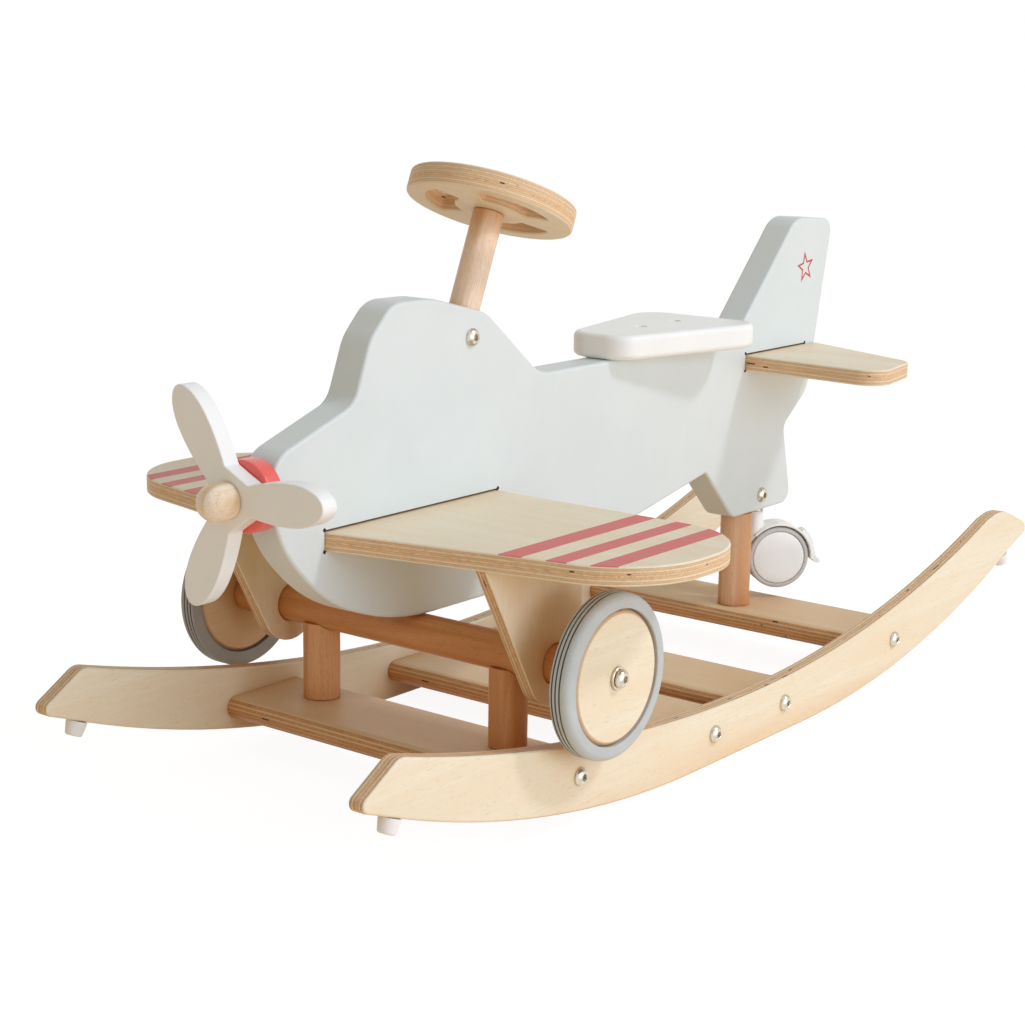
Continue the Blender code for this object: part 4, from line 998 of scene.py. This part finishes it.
SEAT_FRONT_HALF_WIDTH = 0.0245
SEAT_CORNER_ROUND = 0.021
SEAT_EDGE = 0.0042
SCREW_HEAD_RADIUS = 0.0040
SCREW_SINK = 0.0008
WHITE = (0.93, 0.95, 0.91)

seat_low, seat_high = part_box("seat")
seat_thickness = seat_high.z - seat_low.z
white_paint = painted("white_paint", WHITE, 0.36, 0.975, 0.1)
seat_outline = rounded([
    (-SEAT_FRONT_HALF_WIDTH, seat_low.y, SEAT_CORNER_ROUND),
    (SEAT_FRONT_HALF_WIDTH, seat_low.y, SEAT_CORNER_ROUND),
    (seat_high.x + 0.0008, seat_high.y, SEAT_CORNER_ROUND),
    (-seat_high.x - 0.0008, seat_high.y, SEAT_CORNER_ROUND),
])
seat = board("painted_seat", [seat_outline], seat_thickness, at(0, 0, (seat_low.z + seat_high.z) / 2),
             white_paint)
sand(seat, SEAT_EDGE, 6)
sink = seat_high.z - SCREW_SINK
screw_cutters = []
for place_name in ("front", "rear"):
    node = "seat_screw_" + place_name
    screw_y = middle(node).y
    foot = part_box(node)[0].z - sink
    screw_cutters.append(turned("screw_cutter", [
        (0, 0.01), (SCREW_HEAD_RADIUS + 0.0004, 0.01), (SCREW_HEAD_RADIUS + 0.0004, -SCREW_SINK),
        (0, -SCREW_SINK - 0.004)], at(0, screw_y, seat_high.z), white_paint, 40))
    head = [(0.0, -0.0016), (0.0011, -0.0016, 6), (0.0014, -0.0001, 6), (0.0022, 0.0)]
    head += quarter(SCREW_HEAD_RADIUS - 0.0003, -0.0003, 0.0003, pi / 2, 0.0, 3)
    head += [(0.0020, -0.0026), (0.0020, foot), (0.0, foot)]
    fit(turned("steel_" + node, head, at(0, screw_y, sink), nickel, 36), "airframe",
        "nickel_plated_steel", node)
fit(carve(seat, *screw_cutters), "airframe", "white_paint", "seat")


# Steering: a beech dowel let into the cockpit hump and held by a cross bolt, and on its top a plywood
# wheel with three finger slots, which turns on its centre bolt.

STEERING_PLIES = 11
STEERING_RADIUS = 0.0557
STEERING_THICKNESS = 0.0145
STEERING_TURN = radians(5.0)
FINGER_INNER = 0.0235
FINGER_OUTER = 0.0430
FINGER_HALF_ANGLE = radians(39.0)
FINGER_CORNER = 0.0025
STEERING_BOLT_LENGTH = 0.036

dowel("beech_steering_column", COLUMN_RADIUS, -COLUMN_BURIED, COLUMN_RISE, column_place,
      beech("column_beech", 2.1, 0.30), "steering_column")
wheel_place = column_place @ at(0, 0, COLUMN_RISE + HEAD_GAP + STEERING_THICKNESS / 2)
wheel_place = wheel_place @ Matrix.Rotation(STEERING_TURN, 4, "Z")


def polar(radius, angle):
    return (radius * cos(angle), radius * sin(angle))


def finger_slot(middle_angle):
    """One kidney-shaped slot, its four corners eased."""
    start = middle_angle - FINGER_HALF_ANGLE
    end = middle_angle + FINGER_HALF_ANGLE
    ease_out = FINGER_CORNER / FINGER_OUTER
    ease_in = FINGER_CORNER / FINGER_INNER
    near = FINGER_INNER + FINGER_CORNER
    far = FINGER_OUTER - FINGER_CORNER
    points = arc((0, 0), FINGER_OUTER, start + ease_out, end - ease_out)
    points += [polar(FINGER_OUTER - 0.3 * FINGER_CORNER, end - 0.005), polar(far, end), polar(near, end)]
    points += arc((0, 0), FINGER_INNER, end - ease_in, start + ease_in)
    points += [polar(FINGER_INNER + 0.3 * FINGER_CORNER, start - 0.005), polar(near, start),
               polar(far, start)]
    return points


rim = arc((0, 0), STEERING_RADIUS, 0.0, 2 * pi, radians(3.0))[:-1]
slot_angles = [radians(-30.0 + 120.0 * spoke) for spoke in range(3)]
steering_wheel = board("birch_steering_wheel", [rim] + [finger_slot(angle) for angle in slot_angles],
                       STEERING_THICKNESS, wheel_place,
                       birch("steering_birch", STEERING_THICKNESS, STEERING_PLIES, shade_stain=0.15,
                             contrast=0.25), slot_angles)
fit(sand(steering_wheel, 0.0016), "steering", "birch_plywood", "steering_wheel")
bolt("nickel_steering_bolt", wheel_place @ at(0, 0, STEERING_THICKNESS / 2), STEERING_BOLT_LENGTH,
     "airframe", "steering_bolt")
for node in ("column_bolt", "tail_bolt"):
    side_bolt(node, 1)


# Propeller: three leaf-shaped blades cut from one 12 mm board, painted white, on a pin through the red
# spacer; the beech dome in front is glued on the pin.

HUB_RADIUS = 0.0135
BLADE_REACH = 0.0755
BLADE_ROOT_HALF_WIDTH = 0.0085
BLADE_HALF_WIDTH = 0.0129
BLADE_WIDEST = 0.55               # of the way from the hub to the tip
BLADE_FIRST_ANGLE = radians(4.0)
BLADE_ROUNDING = 0.0010
SPACER_RADIUS = 0.022
SPACER_ROUNDING = 0.0016
DOME_RADIUS = 0.0112
PIN_RADIUS = 0.0033
RED = (0.90, 0.12, 0.09)

propeller_low, propeller_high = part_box("propeller")
dome_low, dome_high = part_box("propeller_dome")
spacer_low, spacer_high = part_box("propeller_spacer")
propeller_z = middle("propeller_spacer").z


def blade_half_width(along):
    """Leaf shape: narrow at the hub, widest past the middle, round at the tip."""
    swell = sin(pi * min(1.0, along / BLADE_WIDEST) / 2)
    leaf = BLADE_ROOT_HALF_WIDTH + (BLADE_HALF_WIDTH - BLADE_ROOT_HALF_WIDTH) * swell
    tip = max(0.0, (along - BLADE_WIDEST) / (1.0 - BLADE_WIDEST))
    return leaf * sqrt(max(0.0, 1.0 - tip ** 2.2))


def propeller_outline():
    corners = []
    steps = [sin(pi / 2 * (0.04 + 0.96 * i / 26)) for i in range(26)]
    for blade in range(3):
        angle = BLADE_FIRST_ANGLE + blade * 2 * pi / 3
        outward = Vector((cos(angle), sin(angle)))
        across = Vector((-sin(angle), cos(angle)))
        for edge, order in ((-1, steps), (1, steps[::-1])):
            for along in order:
                reach = HUB_RADIUS + (BLADE_REACH - HUB_RADIUS) * along
                point = outward * reach + across * edge * blade_half_width(along)
                corners.append((point.x, point.y, 0.003 if along == steps[0] else 0.0))
            if edge < 0:
                tip = outward * BLADE_REACH
                corners.append((tip.x, tip.y, 0.0))
    return rounded(corners)


propeller_thickness = propeller_high.y - propeller_low.y
propeller = board("painted_propeller", [propeller_outline()], propeller_thickness,
                  at(0, (propeller_low.y + propeller_high.y) / 2, propeller_z) @ OUTLINE_XZ, white_paint)
fit(sand(propeller, BLADE_ROUNDING), "propeller", "white_paint", "propeller")

red_paint = painted("red_paint", RED, 0.28, 0.90, 0.4)
spacer_length = spacer_high.y - spacer_low.y
spacer_profile = [(PIN_RADIUS, spacer_length)]
spacer_profile += quarter(SPACER_RADIUS - SPACER_ROUNDING, spacer_length - SPACER_ROUNDING,
                          SPACER_ROUNDING, pi / 2, 0.0)
spacer_profile += [(SPACER_RADIUS, 0.0), (PIN_RADIUS, 0.0)]
ahead = facing((0, -1, 0))
fit(turned("red_propeller_spacer", spacer_profile, at(0, spacer_high.y, propeller_z) @ ahead, red_paint,
           80, True), "airframe", "red_paint", "propeller_spacer")

dome_length = dome_high.y - dome_low.y
dome_profile = quarter(0.0, dome_length - DOME_RADIUS, DOME_RADIUS, pi / 2, 0.0, 20)
dome_profile += [(DOME_RADIUS, 0.0005), (DOME_RADIUS - 0.0005, 0.0), (0.0, 0.0)]
fit(turned("beech_propeller_dome", dome_profile, at(0, dome_high.y, propeller_z) @ ahead,
           beech("dome_beech", 3.4, 0.0)), "airframe", "beech_dowel", "propeller_dome")
plate("propeller_pin")


# Stars: a red five-pointed outline printed on both sides of the fin. Each is a film of ink a tenth of
# a millimetre thick on the mint paint.

STAR_BEHIND_AXLE = 0.465
STAR_ABOVE_AXLE = 0.204
STAR_RADIUS = 0.0130
STAR_WAIST = 0.42                 # inner corners, of the radius
STAR_HOLE = 0.688                 # inner edge of the printed line, of the radius
STAR_TILT = radians(9.0)
INK_THICKNESS = 0.00012
INK_RED = (0.62, 0.07, 0.07)


def star(radius):
    """Five points and five inner corners in turn."""
    return [polar(radius * (1.0, STAR_WAIST)[i % 2], pi / 2 + STAR_TILT + i * pi / 5) for i in range(10)]


ink = painted("star_ink", INK_RED, 0.45, 0.85)
for side, sign in SIDES:
    print_x = sign * (half_body + INK_THICKNESS / 2 - 0.00002)
    print_place = at(print_x, axle.y + STAR_BEHIND_AXLE, axle.z + STAR_ABOVE_AXLE) @ OUTLINE_YZ
    fit(board("red_star_" + side, [star(STAR_RADIUS), star(STAR_RADIUS * STAR_HOLE)], INK_THICKNESS,
              print_place, ink), "airframe", "red_paint")


# Caster: a furniture caster of white plastic under the tail, with twin wheels in grey treads, a hood
# that swivels on a steel stem, and a brake pedal hinged behind the hood.

CASTER_WHEEL_RADIUS = 0.025
CASTER_WHEEL_WIDTH = 0.0078
TREAD_DEPTH = 0.0037
WEB_THICKNESS = 0.0042
HOOD_CLEARANCE = 0.0013
HOOD_WALL = 0.0020
HOOD_START = radians(-4.0)
HOOD_END = radians(138.0)
COLLAR_RADIUS = 0.00675
NECK_FOOT = 0.012                 # above the wheel's axle, before the hood's hollow is cut
PEDAL_WIDTH = 0.012
PLASTIC = (0.96, 0.985, 0.955)
TREAD_GREY = (0.56, 0.565, 0.53)

white_plastic = soft_white("caster_plastic", PLASTIC, 0.30, 40.0)
tread_rubber = rubber("tread_rubber", TREAD_GREY, 1.12)
stem_place = middle("caster_stem")
caster_hub = middle("caster_axle")
trail = Vector((caster_hub.x - stem_place.x, caster_hub.y - stem_place.y, 0.0))
trailing = trail.normalized()
axis = trailing.cross(Vector((0, 0, 1)))
side_view = Matrix(((trailing.x, 0, axis.x, caster_hub.x), (trailing.y, 0, axis.y, caster_hub.y),
                    (0, 1, 0, caster_hub.z), (0, 0, 0, 1)))
wheel_gap = WEB_THICKNESS / 2 + HEAD_GAP
caster_half_width = wheel_gap + CASTER_WHEEL_WIDTH
hood_inner = CASTER_WHEEL_RADIUS + HOOD_CLEARANCE
hood_outer = hood_inner + HOOD_WALL
neck_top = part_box("caster_hood")[1].z - caster_hub.z

hood_outline = arc((0, 0), hood_outer, HOOD_START, HOOD_END)
hood_outline += arc((0, 0), hood_inner, HOOD_END, HOOD_START)
hood = board("plastic_caster_hood", [hood_outline], 2 * caster_half_width, side_view, white_plastic)
fit(sand(hood, 0.0008), "caster", "white_plastic", "caster_hood")
neck_profile = [(0, neck_top), (COLLAR_RADIUS - 0.0016, neck_top)]
neck_profile += quarter(COLLAR_RADIUS - 0.0012, neck_top - 0.0012, 0.0012, pi / 2, 0.0, 6)
neck_profile += [(COLLAR_RADIUS, neck_top - 0.004), (COLLAR_RADIUS + 0.0004, hood_outer - 0.001),
                 (COLLAR_RADIUS + 0.0016, NECK_FOOT), (0, NECK_FOOT)]
neck = turned("plastic_caster_neck", neck_profile, at(stem_place.x, stem_place.y, caster_hub.z),
              white_plastic, 64)
carve(neck, drill(hood_inner, -0.03, 0.03, side_view, white_plastic, 96))
fit(neck, "caster", "white_plastic")
web_outline = arc((0, 0), hood_inner + 0.0003, radians(20.0), radians(112.0))
web_outline += [(-0.006, -0.002), (-0.004, -0.006), (0.004, -0.006), (0.006, -0.002)]
web = board("plastic_caster_web", [web_outline], WEB_THICKNESS, side_view, white_plastic)
fit(sand(web, 0.0004, 2), "caster", "white_plastic")
plate("caster_axle", "caster_stem")

rim_radius = CASTER_WHEEL_RADIUS - TREAD_DEPTH
face_profile = [(0.0, CASTER_WHEEL_WIDTH), (rim_radius * 0.55, CASTER_WHEEL_WIDTH - 0.0001),
                (rim_radius * 0.86, CASTER_WHEEL_WIDTH - 0.0005)]
face_profile += quarter(rim_radius - 0.0014, CASTER_WHEEL_WIDTH - 0.0022, 0.0014, pi / 2, 0.0, 6)
face_profile += [(rim_radius, 0.0), (0.0, 0.0)]
tread_inner = rim_radius + HEAD_GAP
tread_profile = [(tread_inner, CASTER_WHEEL_WIDTH - 0.0014),
                 (tread_inner + 0.0006, CASTER_WHEEL_WIDTH - 0.0009)]
tread_profile += quarter(CASTER_WHEEL_RADIUS - 0.0016, CASTER_WHEEL_WIDTH - 0.0025, 0.0016, pi / 2, 0.0,
                         6)
tread_profile += quarter(CASTER_WHEEL_RADIUS - 0.0010, 0.0010, 0.0010, 0.0, -pi / 2, 4)
tread_profile += [(tread_inner, 0.0)]
for side, sign in SIDES:
    outward = side_view @ (Matrix.Identity(4) if sign > 0 else Matrix.Rotation(pi, 4, "X"))
    place = outward @ at(0, 0, wheel_gap)
    fit(turned("plastic_caster_wheel_" + side, face_profile, place, white_plastic, 96), "caster_wheels",
        "white_plastic", "caster_wheel_" + side)
    fit(turned("rubber_caster_tread_" + side, tread_profile, place, tread_rubber, 96, True),
        "caster_wheels", "grey_tread", "caster_tread_" + side)

pedal_outline = arc((0, 0), hood_outer + HEAD_GAP, HOOD_START, radians(47.0))
pedal_outline += [(0.0228, 0.0222), (0.0262, 0.0191), (0.0293, 0.0136), (0.0312, 0.0040),
                  (0.0328, -0.0006), (0.0366, -0.0040), (0.0346, -0.0063), (0.0305, -0.0048)]
pedal = board("plastic_brake_pedal", [pedal_outline], PEDAL_WIDTH, side_view, white_plastic)
fit(sand(pedal, 0.0006), "brake", "white_plastic", "brake_pedal")


# Studio: a white floor that keeps a faint shadow, a soft key from the right and behind, a wide
# low screen on the right and a warm, even room. Only the floor and the room's walls are white to
# the camera.

FLOOR_RADIUS = 8.0
FLOOR_WARM = (1.0, 0.76, 0.50)
FLOOR_GLOW = 0.92                 # with the veil's own light this is white, but for the shadow
FLOOR_VEIL = (0.20, 0.21, 0.215)
ROOM_WARM = (1.0, 0.94, 0.86)
ROOM_STRENGTH = 0.44
KEY_DIRECTION = Vector((0.63, 0.28, 0.72))
KEY_DISTANCE = 3.5
KEY_SIZE = 0.42
KEY_POWER = 35.5
KEY_COLOUR = (0.90, 0.90, 1.0)
SCREEN_DIRECTION = Vector((0.96, -0.10, 0.20))
SCREEN_DISTANCE = 2.6
SCREEN_SIZE = (2.2, 1.4)
SCREEN_POWER = 32.0
SCREEN_COLOUR = (0.68, 0.79, 1.0)
LOOK_AT = Vector((0.0, 0.0, 0.16))


def lamp(name, direction, distance, size, power, colour):
    light = bpy.data.lights.new(name, "AREA")
    light.shape = "RECTANGLE"
    light.size, light.size_y = size
    light.energy = power
    light.color = colour
    made = bpy.data.objects.new(name, light)
    made.location = LOOK_AT + direction.normalized() * distance
    made.rotation_euler = direction.to_track_quat("Z", "Y").to_euler()
    bpy.context.scene.collection.objects.link(made)


lamp("key_light", KEY_DIRECTION, KEY_DISTANCE, (KEY_SIZE, KEY_SIZE), KEY_POWER, KEY_COLOUR)
lamp("side_screen", SCREEN_DIRECTION, SCREEN_DISTANCE, SCREEN_SIZE, SCREEN_POWER, SCREEN_COLOUR)


def backdrop(tree, lighting, shown, output):
    """Lights the object with one shader and shows the other to straight, mirrored and bent rays."""
    path = tree.nodes.new("ShaderNodeLightPath").outputs
    seen = calc("MAXIMUM", Wire(path["Is Camera Ray"]), Wire(path["Is Glossy Ray"]))
    seen = calc("MAXIMUM", seen, Wire(path["Is Transmission Ray"]))
    mixed = put(tree, "ShaderNodeMixShader", {0: seen, 1: lighting.outputs[0], 2: shown.outputs[0]})
    feed(tree.nodes[output], {"Surface": mixed.outputs[0]})


room = bpy.data.worlds.new("room")
room.use_nodes = True
bpy.context.scene.world = room
walls = room.node_tree
backdrop(walls, feed(walls.nodes["Background"], {"Color": ROOM_WARM, "Strength": ROOM_STRENGTH}),
         put(walls, "ShaderNodeBackground", {"Color": (1.0, 1.0, 1.0), "Strength": 1.0}), "World Output")

work = bmesh.new()
bmesh.ops.create_circle(work, cap_ends=True, segments=64, radius=FLOOR_RADIUS)
floor_mesh = bpy.data.meshes.new("floor")
work.to_mesh(floor_mesh)
work.free()
floor_look = bpy.data.materials.new("white_floor")
floor_look.use_nodes = True
tree = floor_look.node_tree
glow = put(tree, "ShaderNodeEmission", {"Color": (1.0, 1.0, 1.0), "Strength": FLOOR_GLOW})
veil = put(tree, "ShaderNodeBsdfDiffuse", {"Color": FLOOR_VEIL})
backdrop(tree, put(tree, "ShaderNodeBsdfDiffuse", {"Color": FLOOR_WARM}),
         put(tree, "ShaderNodeAddShader", {0: glow.outputs[0], 1: veil.outputs[0]}), "Material Output")
stand("studio_floor", floor_mesh, at(0, 0, -0.0004), floor_look)


# Camera: a portrait lens low at the front right, held a little crooked, as the photograph was taken.

CAMERA_PLACE = Vector((0.85161, -1.20886, 0.46883))
CAMERA_AZIMUTH = radians(37.888)
CAMERA_ELEVATION = radians(12.44)
CAMERA_ROLL = radians(0.8206)
CAMERA_LENS = 72.977              # millimetres, on a 36 mm sensor

camera_data = bpy.data.cameras.new("camera")
camera_data.lens = CAMERA_LENS
camera_data.sensor_width = 36.0
camera = bpy.data.objects.new("camera", camera_data)
back = Vector((sin(CAMERA_AZIMUTH) * cos(CAMERA_ELEVATION), -cos(CAMERA_AZIMUTH) * cos(CAMERA_ELEVATION),
               sin(CAMERA_ELEVATION)))
camera.rotation_mode = "QUATERNION"
camera.rotation_quaternion = back.to_track_quat("Z", "Y") @ Quaternion((0, 0, 1), CAMERA_ROLL)
camera.location = CAMERA_PLACE
bpy.context.scene.collection.objects.link(camera)
bpy.context.scene.camera = camera
bpy.context.scene.view_settings.view_transform = "Standard"

bpy.context.view_layer.update()
